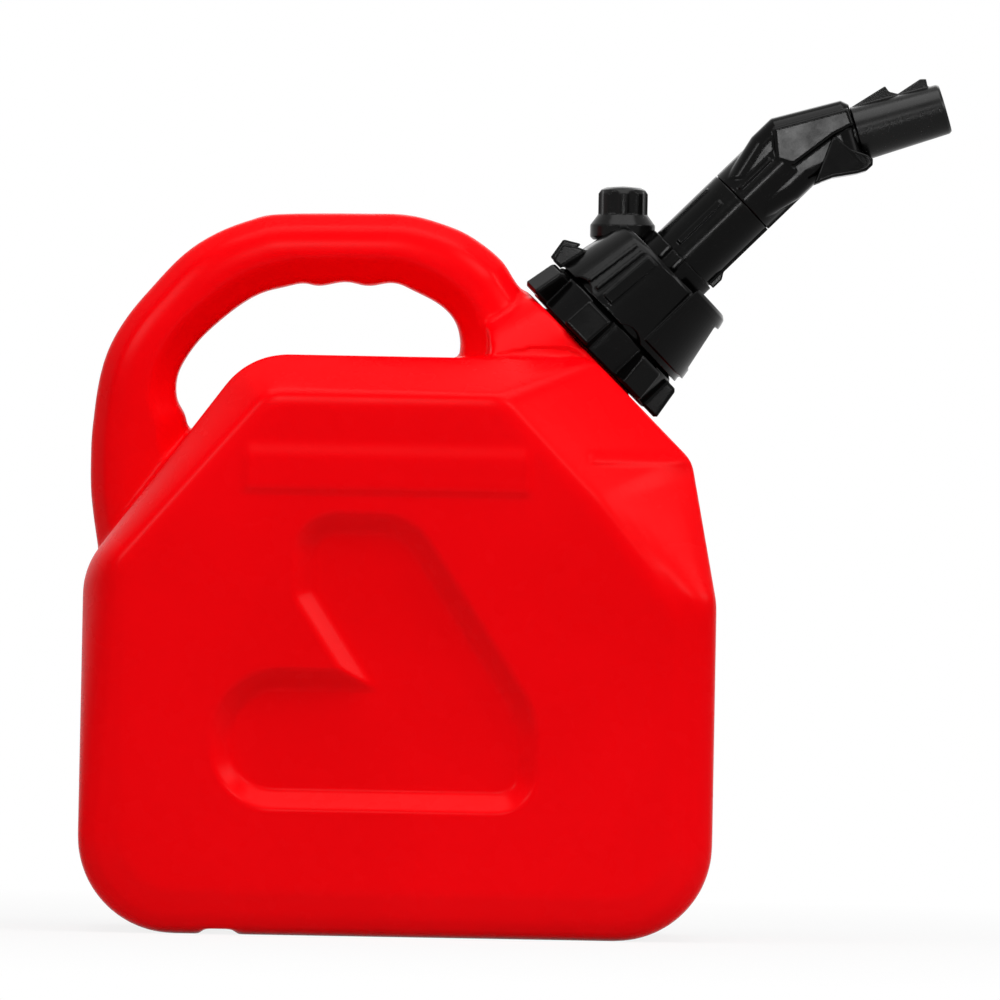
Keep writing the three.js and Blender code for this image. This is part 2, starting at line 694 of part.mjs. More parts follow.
// Vent knob: flared skirt and a faceted crown, about a vertical axis
const skirt_height = 6.6;
const skirt_edge = 1.4;
const crown_height = 23.8;
const crown_slope = 4.6;
const crown_chamfer = 3.4;
const crown_dome = 1;
const crown_flats = 8;
const flute_radius = 6;
const flute_depth = 0.9;
function ventCap() {
  const skirt_top = knob_z + skirt_height;
  const crown_low = skirt_top + crown_slope;
  const top = knob_z + crown_height;
  const bore = stub_radius + turning_gap;
  const roof = stub_top + gasket_thickness + 2 * seat;
  let shape = solid(revolved([
    [bore, knob_z], [knob_radius - skirt_edge, knob_z], [knob_radius, knob_z + skirt_edge],
    [knob_radius, skirt_top], [crown_radius, crown_low], [crown_radius, top - crown_chamfer],
    [crown_radius - crown_chamfer, top - crown_dome], [0, top], [0, roof], [bore, roof],
  ], 3 * crown_flats));
  const flute = rod(flute_radius, crown_low, top + overrun, 16);
  flute.translate(crown_radius + flute_radius - flute_depth, 0, 0);
  for (let i = 0; i < crown_flats; i += 1) {
    shape = shape.subtract(solid(flute, about(((i + 0.5) * 2 * Math.PI) / crown_flats)));
  }
  const mesh = named('vent_cap', geometryOf(shape), BLACK);
  mesh.position.set(knob_x, knob_side, 0);
  return mesh;
}

function ventGasket() {
  const low = stub_top + seat;
  const profile = tubeProfile(stub_bore, stub_radius, low, low + gasket_thickness);
  const mesh = named('vent_gasket', revolved(profile, INNER_SIDES), RUBBER);
  mesh.position.set(knob_x, knob_side, 0);
  return mesh;
}

// Sliding sleeve with long ribs, a keel and a foot
const spigot_wall_share = 0.3;
const spigot_radius = sleeve_bore + spigot_wall_share * sleeve_wall;
const keel_root_share = 0.8;
const spigot_bore = guide_radius + 2 * sliding_gap;
const spigot_height = 3.7;
const spigot_low = sleeve_top_z - guide_spigot + overrun;
const keel_rise = 0.3;
const keel_foot_reach = 2.2;
const foot_rise = 5.2;
const foot_slope = 3;
const rib_start = 3;
const SLEEVE_RIB_SHARES = [0.655, 0.845];
function sleeveTube() {
  let shape = solid(revolved([
    [sleeve_bore, sleeve_foot_z], [sleeve_radius, sleeve_foot_z], [sleeve_radius, sleeve_top_z],
    [spigot_radius, sleeve_top_z], [spigot_radius, sleeve_top_z + spigot_height],
    [spigot_bore, sleeve_top_z + spigot_height], [spigot_bore, spigot_low], [sleeve_bore, spigot_low],
  ]));
  const inside = sleeve_radius - keel_root_share * sleeve_wall;
  const keel = sleeve_radius + keel_rise;
  const reach = sleeve_radius + keel_foot_reach;
  const foot_high = foot_low_z + foot_rise;
  const foot = plate([[inside, foot_low_z], [reach, foot_low_z], [reach, foot_high],
    [keel, foot_high + foot_slope], [keel, sleeve_top_z], [inside, sleeve_top_z]], keel_half_width);
  shape = shape.add(solid(foot));
  const rib = block(sleeve_radius - rib_rise, sleeve_radius + rib_rise, -rib_rise, rib_rise,
    sleeve_foot_z + rib_start, sleeve_top_z);
  [-1, 1].forEach((side) => {
    SLEEVE_RIB_SHARES.forEach((share) => {
      shape = shape.add(solid(rib, about(side * share * Math.PI)));
    });
  });
  return named('sleeve_tube', geometryOf(shape), BLACK);
}

const oring_squeeze = 0.1;
const oring_edge = 0.6;
function sleeveOring() {
  const inner = guide_radius - oring_groove + oring_squeeze;
  const outer = sleeve_bore - oring_squeeze;
  const high = oring_low + oring_height;
  return named('sleeve_oring', revolved([
    [inner, oring_low + oring_edge], [inner + oring_edge, oring_low], [outer - oring_edge, oring_low],
    [outer, oring_low + oring_edge], [outer, high - oring_edge], [outer - oring_edge, high],
    [inner + oring_edge, high], [inner, high - oring_edge],
  ]), RUBBER);
}

// Return spring between the guide tube and the valve ledge
const wire = 1.3;
const spring_turns = 6;
function returnSpring() {
  const low = guide_top_z + seat + wire / 2;
  const high = ledge_z - seat - wire / 2;
  const radius = (guide_bore + guide_radius) / 2;
  class Coil extends THREE.Curve {
    getPoint(t, target = new THREE.Vector3()) {
      const angle = t * spring_turns * 2 * Math.PI;
      return target.set(radius * Math.cos(angle), radius * Math.sin(angle), low + (high - low) * t);
    }
  }
  const section = new THREE.Shape();
  section.absarc(0, 0, wire / 2, 0, 2 * Math.PI);
  const geometry = new THREE.ExtrudeGeometry(section, {
    steps: spring_turns * 9, extrudePath: new Coil(), curveSegments: 3, bevelEnabled: false,
  });
  return named('return_spring', geometry, STEEL);
}

// Valve: a spider in the guide tube carries the stem, and the plug sits on the ledge of the elbow
const stem_radius = 2.4;
const hub_wall = 2;
const spider_rim = 1.6;
const spider_gap = 0.1;
const spider_rise = 6;
const spider_low = shroud_top_z + spider_rise;
const spider_height = 6;
const spider_arm_half = 1;
const stem_tail = 2;
const ledge_thickness = 3;
const seal_z = ledge_z + ledge_thickness + seat;
const seal_thickness = 1.6;
const plug_z = seal_z + seal_thickness + 2 * seat;
const plug_radius = 9.4;
const plug_height = 3.7;
const plug_chamfer = 1.4;
const valve_hole = 7.6;
const plug_room = 1.6;
function stemSpider() {
  const reach = guide_bore - spider_gap;
  const high = spider_low + spider_height;
  let shape = solid(rod(stem_radius + hub_wall, spider_low, high, 20));
  shape = shape.add(ringSolid(reach - spider_rim, reach, spider_low, high));
  const arm = block(0, reach - spider_rim / 2, -spider_arm_half, spider_arm_half, spider_low, high);
  for (let i = 0; i < 3; i += 1) {
    shape = shape.add(solid(arm, about((i * 2 * Math.PI) / 3)));
  }
  shape = shape.subtract(solid(rod(stem_radius + pin_gap, spider_low - overrun, high + overrun, 20)));
  return named('stem_spider', geometryOf(shape), NATURAL);
}

function valveStem() {
  return named('valve_stem', rod(stem_radius, spider_low - stem_tail, plug_z - seat, 20), STEEL);
}

function valvePlug() {
  return named('valve_plug', revolved([
    [0, plug_z], [plug_radius, plug_z], [plug_radius, plug_z + plug_height - plug_chamfer],
    [plug_radius - 2 * plug_chamfer, plug_z + plug_height], [0, plug_z + plug_height],
  ], INNER_SIDES), NATURAL);
}

function valveSeal() {
  const profile = tubeProfile(stem_radius + spider_gap, plug_radius, seal_z, seal_z + seal_thickness);
  return named('valve_seal', revolved(profile, INNER_SIDES), RUBBER);
}

// Bent upper housing. Along the outlet, u runs out and v is above the outlet's axis.
const outlet = new THREE.Vector2(Math.sin(elbow_bend), Math.cos(elbow_bend));
function onOutlet(u, v) {
  return [outlet.x * u - outlet.y * v, elbow_z + outlet.y * u + outlet.x * v];
}
const elbowMatrix = moved(0, 0, elbow_z, new THREE.Euler(0, elbow_bend, 0));
const cheek_rise = 1.5;
const cheek_slope = 4;
const crown_step = 3.2;
const cavity_rise = 6;
const outlet_gap = 1;
const socket_depth = 10;
const socket_radius = 11.3;
const ELBOW_RIB_SHARE = 0.6;
// Side of the elbow past the bend, as shares of the outlet's start and of the housing's half height
const ELBOW_SHARES = [[0.166, -0.99], [1, -0.775], [1, 0.85], [0.9, 1.01]];
const hook_pin_radius = 1.1;
const HOOK_PIN_SHARE = [0.76, -0.825];

// Hole or pin of the hook saddle
function hookBore(radius, reach) {
  const bore = rod(radius, -reach, reach, 16);
  bore.rotateX(Math.PI / 2);
  const [x, z] = onOutlet(HOOK_PIN_SHARE[0] * nozzle_start, HOOK_PIN_SHARE[1] * elbow_half_height);
  bore.translate(x, 0, z);
  return bore;
}

function elbowHousing() {
  const low = sleeve_top_z + seat;
  const step_z = ledge_z - seat;
  const foot_z = step_z - cheek_slope;
  const crown_z = elbow_z + crown_step;
  const step_reach = sleeve_radius + cheek_rise;
  let shape = solid(rod(sleeve_radius, low, elbow_z));
  const bend = ELBOW_SHARES.map(([u, v]) => onOutlet(u * nozzle_start, v * elbow_half_height));
  const side = [[sleeve_radius, foot_z], ...bend, [-step_reach, crown_z], [-step_reach, step_z],
    [-sleeve_radius, foot_z]];
  shape = shape.add(solid(plate(side, elbow_half_width, elbow_bevel)));
  const rib = block(sleeve_radius - rib_rise, sleeve_radius + rib_rise, -rib_rise, rib_rise,
    low + rib_start, step_z);
  [-1, 1].forEach((turn) => {
    shape = shape.add(solid(rib, about(turn * ELBOW_RIB_SHARE * Math.PI)));
  });
  const keel_in = sleeve_radius - keel_root_share * sleeve_wall;
  const keel_out = sleeve_radius + keel_rise;
  const keel_high = elbow_z - elbow_bevel;
  const keel_side = [[keel_in, low], [keel_out, low], [keel_out, keel_high], [keel_in, keel_high]];
  const keel = plate(keel_side, keel_half_width);
  shape = shape.add(solid(keel));
  const below = low - overrun;
  const beyond = nozzle_start + overrun;
  const cavity = [
    solid(rod(spigot_radius + spider_gap, below, sleeve_top_z + spigot_height + seat)),
    solid(rod(spigot_bore, below, ledge_z)),
    solid(rod(valve_hole, below, elbow_z, 30)),
    solid(rod(plug_radius + plug_room, ledge_z + ledge_thickness, crown_z + cavity_rise)),
    solid(rod(nozzle_bore + outlet_gap, 0, beyond, 30), elbowMatrix),
    solid(rod(socket_radius, nozzle_start - socket_depth, beyond), elbowMatrix),
    solid(hookBore(hook_pin_radius + pin_gap, 2 * elbow_half_width)),
  ];
  cavity.forEach((cut) => { shape = shape.subtract(cut); });
  return named('elbow_housing', geometryOf(shape), BLACK);
}

// Hook saddle under the elbow: its outline, and the room in it for the elbow, as the same shares
const hook_cheek = 2.4;
const hook_edge = 1;
const HOOK_SHARES = [
  [0.276, -1.013], [0.71, -1.063], [0.88, -1.125], [1.12, -0.913], [1.166, -0.738], [1.08, -0.563],
  [0.845, -0.438], [0.69, -0.063],
];
const HOOK_ROOM_SHARES = [[-0.69, 2.5], [-0.69, -0.994], [0.166, -1.006], [1.01, -0.794], [1.01, 2.5]];
function hookSaddle() {
  const inner = elbow_half_width + seat;
  const place = ([u, v]) => onOutlet(u * nozzle_start, v * elbow_half_height);
  const saddle = solid(plate(HOOK_SHARES.map(place), inner + hook_cheek, hook_edge));
  const room = solid(plate(HOOK_ROOM_SHARES.map(place), inner));
  const tip = nozzle_start + nozzle_length;
  const tube_room = solid(rod(nozzle_root_radius + seat, nozzle_start - overrun, tip), elbowMatrix);
  const hole = solid(hookBore(hook_pin_radius + pin_gap, 2 * elbow_half_width));
  return named('hook', geometryOf(saddle.subtract(room).subtract(tube_room).subtract(hole)), BLACK);
}

function hookPin() {
  const reach = elbow_half_width + seat + hook_cheek - sliding_gap;
  return named('hook_pin', hookBore(hook_pin_radius, reach), STEEL);
}

// Nozzle with a tapered bore and two barbs on top, and the seal behind its root
const root_seal_height = 1.6;
const tip_edge = 1.2;
const tip_lip = 1;
const bore_taper = 0.6;
const barb_half = 1.8;
// Barbs as shares of the nozzle's length from its start, and of its root radius
const BARB_SHARES = [
  [[0.007, 0.74], [0.007, 0.98], [0.44, 1.385], [0.466, 1.15], [0.554, 0.98], [0.554, 0.74]],
  [[0.542, 0.74], [0.542, 0.98], [0.825, 1.27], [0.889, 1.213], [0.884, 0.98], [0.911, 0.74]],
];
function onElbow(mesh) {
  mesh.position.set(0, 0, elbow_z);
  mesh.rotation.y = elbow_bend;
  return mesh;
}

function nozzleOring() {
  const low = nozzle_start - socket_depth + spider_gap;
  const bore = nozzle_bore + outlet_gap + spider_gap;
  const profile = tubeProfile(bore, socket_radius - spider_gap, low, low + root_seal_height);
  return onElbow(named('nozzle_oring', revolved(profile, INNER_SIDES), RUBBER));
}

function nozzle() {
  const root = nozzle_start - socket_depth + spider_gap + root_seal_height + seat;
  const tip = nozzle_start + nozzle_length;
  const start = nozzle_start + seat;
  const plug_in = socket_radius - seat;
  let shape = solid(revolved([
    [nozzle_bore, root], [plug_in, root], [plug_in, start], [nozzle_root_radius, start],
    [nozzle_tip_radius, tip - tip_edge], [nozzle_tip_radius - tip_lip, tip],
    [nozzle_bore - bore_taper, tip],
  ]));
  BARB_SHARES.forEach((barb) => {
    const outline = barb.map(([u, v]) => [-v * nozzle_root_radius, nozzle_start + u * nozzle_length]);
    shape = shape.add(solid(plate(outline, barb_half)));
  });
  return onElbow(named('nozzle', geometryOf(shape), BLACK));
}

// The can and its spout, in the frame of the neck
const spout = new THREE.Group();
spout.position.set(neck_axis_x, 0, neck_z);
spout.rotation.y = neck_tilt;
spout.add(
  flameScreen(),
  neckGasket(),
  collarRing(),
  spoutBase(),
  spoutShroud(),
  releaseTab(),
  tabPin(),
  sleeveTube(),
  sleeveOring(),
  returnSpring(),
  stemSpider(),
  valveStem(),
  valvePlug(),
  valveSeal(),
  elbowHousing(),
  hookSaddle(),
  hookPin(),
  nozzleOring(),
  nozzle(),
);

const group = new THREE.Group();
group.add(canBody(), canNeck(), canHandle(), spout, ventCap(), ventGasket());

export default group;
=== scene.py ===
"""Looks of a plastic fuel can with a pouring spout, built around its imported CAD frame."""
import json
import math

import bmesh
import bpy
import numpy as np
from mathutils import Matrix, Vector


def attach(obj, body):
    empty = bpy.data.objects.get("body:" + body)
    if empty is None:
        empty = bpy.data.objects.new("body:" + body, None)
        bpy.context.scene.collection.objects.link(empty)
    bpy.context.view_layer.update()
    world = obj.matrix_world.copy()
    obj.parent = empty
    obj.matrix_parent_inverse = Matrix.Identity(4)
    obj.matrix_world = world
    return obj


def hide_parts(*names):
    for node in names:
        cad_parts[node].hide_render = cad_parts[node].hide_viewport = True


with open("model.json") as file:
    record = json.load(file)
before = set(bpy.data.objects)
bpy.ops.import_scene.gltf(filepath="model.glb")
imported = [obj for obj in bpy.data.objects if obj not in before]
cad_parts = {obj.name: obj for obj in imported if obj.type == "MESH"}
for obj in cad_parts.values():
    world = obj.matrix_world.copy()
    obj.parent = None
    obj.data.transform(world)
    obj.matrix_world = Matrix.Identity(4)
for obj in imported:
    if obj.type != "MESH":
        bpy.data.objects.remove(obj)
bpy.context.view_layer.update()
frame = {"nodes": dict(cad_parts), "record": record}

# Sizes below are in millimetres, in the frame of the CAD, and are turned to metres by MM
MM = 0.001
TO_METRES = Matrix.Scale(MM, 4)
ROUND_SIDES = 96
SAME_POINT = 1e-4
TINY_LENGTH = 1e-9
TINY_SPAN = 1e-12
# Least cosine at a sharp corner, so that its point doesn't run off as it moves in
SHRINK_COSINE = 0.5
INSET_COSINE = 0.2

# Soft edges of the moulded pieces: voxel of the remesh, rounds of smoothing
CAN_SOFTNESS = (1.5, 8)
HOUSING_SOFTNESS = (0.4, 3)
SLEEVE_SOFTNESS = (0.35, 2)
KNOB_SOFTNESS = (0.32, 3)
OUTLET_SOFTNESS = (0.32, 2)
TAB_SOFTNESS = (0.3, 2)
SMOOTH_FACTOR = 0.5


# Shapes: a shape is a pair of (points, faces), closed and facing out
def lathe(profile, sides=ROUND_SIDES):
    """Revolves a closed profile of (radius, height) points about Z."""
    points = []
    for k in range(sides):
        turn = 2 * math.pi * k / sides
        points += [(r * math.cos(turn), r * math.sin(turn), z) for r, z in profile]
    count = len(profile)
    faces = []
    for k in range(sides):
        here, ahead = k * count, ((k + 1) % sides) * count
        for i in range(count):
            j = (i + 1) % count
            faces.append((here + i, ahead + i, ahead + j, here + j))
    return points, faces


def tube(inner, outer, low, high):
    return lathe([(inner, low), (outer, low), (outer, high), (inner, high)])


def rod(radius, low, high, sides=ROUND_SIDES):
    return lathe([(0, low), (radius, low), (radius, high), (0, high)], sides)


def loft(rings):
    """Joins rings of equal length and closes both ends."""
    count = len(rings[0])
    points = [tuple(point) for ring in rings for point in ring]
    faces = []
    for k in range(len(rings) - 1):
        low, high = k * count, (k + 1) * count
        for i in range(count):
            j = (i + 1) % count
            faces.append((low + i, high + i, high + j, low + j))
    faces.append(tuple(range(count)))
    faces.append(tuple(reversed(range(len(points) - count, len(points)))))
    return points, faces


def shrink(outline, inset):
    """Moves each point of a closed (x, z) outline inwards along its own normal."""
    line = np.array(outline, dtype=float)
    area = np.sum(line[:, 0] * np.roll(line[:, 1], -1)
                  - np.roll(line[:, 0], -1) * line[:, 1])
    ahead = np.roll(line, -1, axis=0) - line
    behind = line - np.roll(line, 1, axis=0)
    ahead /= np.linalg.norm(ahead, axis=1)[:, None] + TINY_LENGTH
    behind /= np.linalg.norm(behind, axis=1)[:, None] + TINY_LENGTH
    bend = ahead + behind
    bend /= np.linalg.norm(bend, axis=1)[:, None] + TINY_LENGTH
    normal = np.stack([-bend[:, 1], bend[:, 0]], axis=1) * math.copysign(1, area)
    reach = inset / np.maximum(np.sum(bend * ahead, axis=1), SHRINK_COSINE)
    return line + normal * reach[:, None]


def plate(outline, half_width, bevel=0.0, steps=4):
    """Plate with an (x, z) outline, centred on Y = 0, with round or plain edges."""
    if bevel:
        levels = []
        for k in range(steps + 1):
            turn = 0.5 * math.pi * k / steps
            inset = bevel * (1 - math.sin(turn))
            levels.append((inset, half_width - bevel * (1 - math.cos(turn))))
        levels = [(inset, -y) for inset, y in levels]
        levels += [(inset, -y) for inset, y in reversed(levels)]
    else:
        levels = [(0, -half_width), (0, half_width)]
    rings = []
    for inset, y in levels:
        ring = shrink(outline, inset) if inset else outline
        rings.append([(x, y, z) for x, z in ring])
    return loft(rings)


def block(low, high):
    (x0, y0, z0), (x1, y1, z1) = low, high
    return loft([[(x0, y, z0), (x1, y, z0), (x1, y, z1), (x0, y, z1)] for y in (y0, y1)])


def turned(shape, matrix):
    points, faces = shape
    return [tuple(matrix @ Vector(point)) for point in points], faces


def about_z(shape, angle):
    return turned(shape, Matrix.Rotation(angle, 4, "Z"))


# Turning shapes into pieces
def raw_object(name, shape):
    points, faces = shape
    mesh = bpy.data.meshes.new(name)
    mesh.from_pydata(points, [], faces)
    work = bmesh.new()
    work.from_mesh(mesh)
    bmesh.ops.remove_doubles(work, verts=work.verts, dist=SAME_POINT)
    bmesh.ops.dissolve_degenerate(work, dist=SAME_POINT, edges=work.edges)
    bmesh.ops.recalc_face_normals(work, faces=work.faces)
    work.to_mesh(mesh)
    work.free()
    piece = bpy.data.objects.new(name, mesh)
    bpy.context.scene.collection.objects.link(piece)
    return piece


def apply_all(piece):
    graph = bpy.context.evaluated_depsgraph_get()
    mesh = bpy.data.meshes.new_from_object(piece.evaluated_get(graph))
    piece.modifiers.clear()
    old = piece.data
    piece.data = mesh
    bpy.data.meshes.remove(old)


def combine(name, adds, cuts=()):
    """Joins the added shapes and cuts the others away."""
    piece = raw_object(name, adds[0])
    others = []
    steps = [(shape, "UNION") for shape in adds[1:]] + [(shape, "DIFFERENCE") for shape in cuts]
    for k, (shape, way) in enumerate(steps):
        other = raw_object(f"{name}_tool_{k}", shape)
        others.append(other)
        step = piece.modifiers.new(f"step_{k}", "BOOLEAN")
        step.operation = way
        step.solver = "MANIFOLD"
        step.object = other
    apply_all(piece)
    for other in others:
        bpy.data.objects.remove(other, do_unlink=True)
    return piece


def shape_of(piece):
    """Takes the points and faces out of a scratch object and removes it."""
    mesh = piece.data
    shape = ([tuple(v.co) for v in mesh.vertices], [tuple(f.vertices) for f in mesh.polygons])
    bpy.data.objects.remove(piece, do_unlink=True)
    return shape


def moulded(name, adds, cuts, frame_matrix, softness):
    """A moulded piece: joined, cut, then given soft edges by an even remesh and smoothing."""
    voxel, rounds = softness
    piece = combine(name, adds, cuts)
    remesh = piece.modifiers.new("remesh", "REMESH")
    remesh.mode = "VOXEL"
    remesh.voxel_size = voxel
    smooth = piece.modifiers.new("smooth", "SMOOTH")
    smooth.factor = SMOOTH_FACTOR
    smooth.iterations = rounds
    apply_all(piece)
    piece.data.transform(TO_METRES @ frame_matrix)
    for face in piece.data.polygons:
        face.use_smooth = True
    return piece


def finish_piece(piece, body, slot, material, *nodes):
    piece.data.materials.clear()
    piece.data.materials.append(material)
    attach(piece, body)
    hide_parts(*nodes)


# Materials
MIX_FIRST, MIX_SECOND, MIX_RESULT = 6, 7, 2  # colour sockets of the mix node
RANGE_ENDS = ("From Min", "From Max", "To Min", "To Max")
NOISE_BAND = (0.3, 0.7)  # the part of a noise's range that a ramp spreads out
FULL = (0, 1)


class Nodes:
    """Short ways to add shader nodes to one material."""

    def __init__(self, name):
        self.material = bpy.data.materials.new(name)
        self.material.use_nodes = True
        self.tree = self.material.node_tree
        self.shader = self.tree.nodes["Principled BSDF"]
        self.place = self.add("ShaderNodeTexCoord").outputs["Object"]

    def add(self, kind, **values):
        node = self.tree.nodes.new(kind)
        for key, value in values.items():
            setattr(node, key, value)
        return node

    def link(self, source, target):
        self.tree.links.new(source, target)

    def noise(self, scale, detail=3.0, roughness=0.5):
        node = self.add("ShaderNodeTexNoise")
        node.inputs["Scale"].default_value = scale
        node.inputs["Detail"].default_value = detail
        node.inputs["Roughness"].default_value = roughness
        self.link(self.place, node.inputs["Vector"])
        return node.outputs["Fac"]

    def ramp(self, value, band, out):
        node = self.add("ShaderNodeMapRange", clamp=True)
        for key, number in zip(RANGE_ENDS, (*band, *out)):
            node.inputs[key].default_value = number
        self.link(value, node.inputs["Value"])
        return node.outputs["Result"]

    def mix(self, fac, first, second):
        node = self.add("ShaderNodeMix", data_type="RGBA")
        node.inputs[MIX_FIRST].default_value = (*first, 1)
        node.inputs[MIX_SECOND].default_value = (*second, 1)
        self.link(fac, node.inputs[0])
        return node.outputs[MIX_RESULT]

    def bump(self, height, distance, strength, normal=None):
        node = self.add("ShaderNodeBump")
        node.inputs["Distance"].default_value = distance
        node.inputs["Strength"].default_value = strength
        self.link(height, node.inputs["Height"])
        if normal is not None:
            self.link(normal, node.inputs["Normal"])
        return node.outputs["Normal"]


# The can: red where the broad noise is low and where it is high, roughness, shine
CAN_REDS = [(0.76, 0.0004, 0.0022), (0.84, 0.0006, 0.003)]
CAN_ROUGH = (0.25, 0.29)
CAN_SHINE = 0.035


def blown_red():
    """Blow-moulded polyethylene: saturated red, soft gloss, faint waviness and fine grain."""
    nodes = Nodes("blown_red")
    broad = nodes.ramp(nodes.noise(scale=9.0, detail=2.0), NOISE_BAND, FULL)
    nodes.link(nodes.mix(broad, *CAN_REDS), nodes.shader.inputs["Base Color"])
    rough = nodes.ramp(nodes.noise(scale=60.0, detail=4.0), NOISE_BAND, CAN_ROUGH)
    nodes.link(rough, nodes.shader.inputs["Roughness"])
    wavy = nodes.bump(nodes.noise(scale=22.0, detail=1.0), distance=0.0006, strength=0.35)
    fine = nodes.noise(scale=1400.0, detail=2.0)
    grain = nodes.bump(fine, distance=0.000012, strength=0.5, normal=wavy)
    nodes.link(grain, nodes.shader.inputs["Normal"])
    nodes.shader.inputs["Specular IOR Level"].default_value = CAN_SHINE
    return nodes.material


# The blacks: shares of the tone in the dark and the light parts, and the parts of the noises used
BLACK_DARK_SHARES = (0.75, 0.75, 0.75)
BLACK_LIGHT_SHARES = (1.3, 1.3, 1.25)
BLACK_TONE_BAND = (0.35, 0.7)
BLACK_ROUGH_BAND = (0.3, 0.75)


def moulded_black(name, tone, rough, shine):
    """Injection-moulded black: satin with faint scuffs and fine grain."""
    nodes = Nodes(name)
    dark = tuple(tone * share for share in BLACK_DARK_SHARES)
    light = tuple(tone * share for share in BLACK_LIGHT_SHARES)
    cloudy = nodes.ramp(nodes.noise(scale=40.0, detail=4.0), BLACK_TONE_BAND, FULL)
    nodes.link(nodes.mix(cloudy, dark, light), nodes.shader.inputs["Base Color"])
    scuffs = nodes.noise(scale=120.0, detail=5.0, roughness=0.6)
    nodes.link(nodes.ramp(scuffs, BLACK_ROUGH_BAND, rough), nodes.shader.inputs["Roughness"])
    grain = nodes.bump(nodes.noise(scale=900.0, detail=2.0), distance=0.000015, strength=0.4)
    nodes.link(grain, nodes.shader.inputs["Normal"])
    nodes.shader.inputs["Specular IOR Level"].default_value = shine
    return nodes.material


# Inner pieces: shares of the colour and of the roughness between which their noises vary
MOTTLE_DARK_SHARE = 0.8
MOTTLE_ROUGH_SHARES = (0.85, 1.1)


def plain_material(name, colour, roughness, metallic=0.0):
    """Inner pieces: one colour with a fine mottle."""
    nodes = Nodes(name)
    dark = tuple(part * MOTTLE_DARK_SHARE for part in colour)
    mottle = nodes.mix(nodes.ramp(nodes.noise(scale=300.0), NOISE_BAND, FULL), dark, colour)
    nodes.link(mottle, nodes.shader.inputs["Base Color"])
    ends = tuple(roughness * share for share in MOTTLE_ROUGH_SHARES)
    rough = nodes.ramp(nodes.noise(scale=500.0), NOISE_BAND, ends)
    nodes.link(rough, nodes.shader.inputs["Roughness"])
    nodes.shader.inputs["Metallic"].default_value = metallic
    return nodes.material


RED = blown_red()
BLACK = moulded_black("spout_black", tone=0.0012, rough=(0.13, 0.2), shine=0.08)
GLOSS_BLACK = moulded_black("nozzle_black", tone=0.002, rough=(0.24, 0.31), shine=0.16)
KNOB_BLACK = moulded_black("knob_black", tone=0.003, rough=(0.18, 0.28), shine=0.1)
INNER_BLACK = plain_material("inner_black", (0.03, 0.03, 0.03), roughness=0.6)
RUBBER = plain_material("rubber", (0.05, 0.05, 0.055), roughness=0.8)
STEEL = plain_material("steel", (0.7, 0.71, 0.72), roughness=0.28, metallic=1.0)
NATURAL = plain_material("natural", (0.8, 0.78, 0.72), roughness=0.45)

# The tank: outer outline and face ridge, as in the CAD
BODY_WIDTH = 277.0
BODY_HEIGHT = 253.6
BODY_DEPTH = 158.0
HALF_WIDTH = BODY_WIDTH / 2
HALF_DEPTH = BODY_DEPTH / 2
NECK_X = 79.85
NECK_Z = BODY_HEIGHT + 3.6
NECK_TILT = math.radians(45)
NECK = Matrix.Translation((NECK_X, 0, NECK_Z)) @ Matrix.Rotation(NECK_TILT, 4, "Y")
SIDE_BEND_Z = 147.8
SIDE_LEAN = 0.187
FACET_SUM = NECK_X + NECK_Z
LEAN_TOP_Z = (FACET_SUM - HALF_WIDTH - SIDE_LEAN * SIDE_BEND_Z) / (1 - SIDE_LEAN)
CHAMFER_FOOT_Z = 158.7
CHAMFER_TOP_X = -67.4
FOOT_ROUND = 42.0
CORNER_ROUND = 34.0
SIDE_ROUND = 13.0
SHOULDER_BAND = 16.5
SHOULDER_DROP = 25.0
NECK_DROP = 37.0
RECESS_DEPTH = 7.0
RECESS_SLOPE = 8.8
FACE_EDGE = 5.0

# A corner's rounding takes less than half of each edge beside it, and keeps some when moved in
EDGE_SHARE = 0.48
CORNER_STEPS = 14
LEAST_ROUND = 1
LEAST_ROUND_SHARE = 0.2


def round_outline(corners, steps=CORNER_STEPS):
    """Rounds each corner (x, z, radius) of a closed outline into the same count of points."""
    outline = []
    for i, (x, z, radius, *_) in enumerate(corners):
        here = Vector((x, z))
        back = Vector(corners[i - 1][:2]) - here
        ahead = Vector(corners[(i + 1) % len(corners)][:2]) - here
        half_angle = back.angle(ahead) / 2
        reach = min(radius / math.tan(half_angle), back.length * EDGE_SHARE,
                    ahead.length * EDGE_SHARE)
        start, end = here + back.normalized() * reach, here + ahead.normalized() * reach
        weight = math.sin(half_angle)
        for k in range(steps):
            t = k / (steps - 1)
            w0, w1, w2 = (1 - t) ** 2, 2 * t * (1 - t) * weight, t * t
            point = (start * w0 + here * w1 + end * w2) / (w0 + w1 + w2)
            outline.append((point.x, point.y, i))
    return outline


def inset_corners(corners, inset):
    moved = []
    for i, (x, z, radius, *rest) in enumerate(corners):
        here = Vector((x, z))
        before = Vector(corners[i - 1][:2])
        after = Vector(corners[(i + 1) % len(corners)][:2])
        d0, d1 = (here - before).normalized(), (after - here).normalized()
        n0, n1 = Vector((-d0.y, d0.x)), Vector((-d1.y, d1.x))
        bisector = (n0 + n1).normalized()
        point = here + bisector * (inset / max(bisector.dot(n0), INSET_COSINE))
        least = LEAST_ROUND + LEAST_ROUND_SHARE * radius
        moved.append((point.x, point.y, max(radius - inset, least), *rest))
    return moved


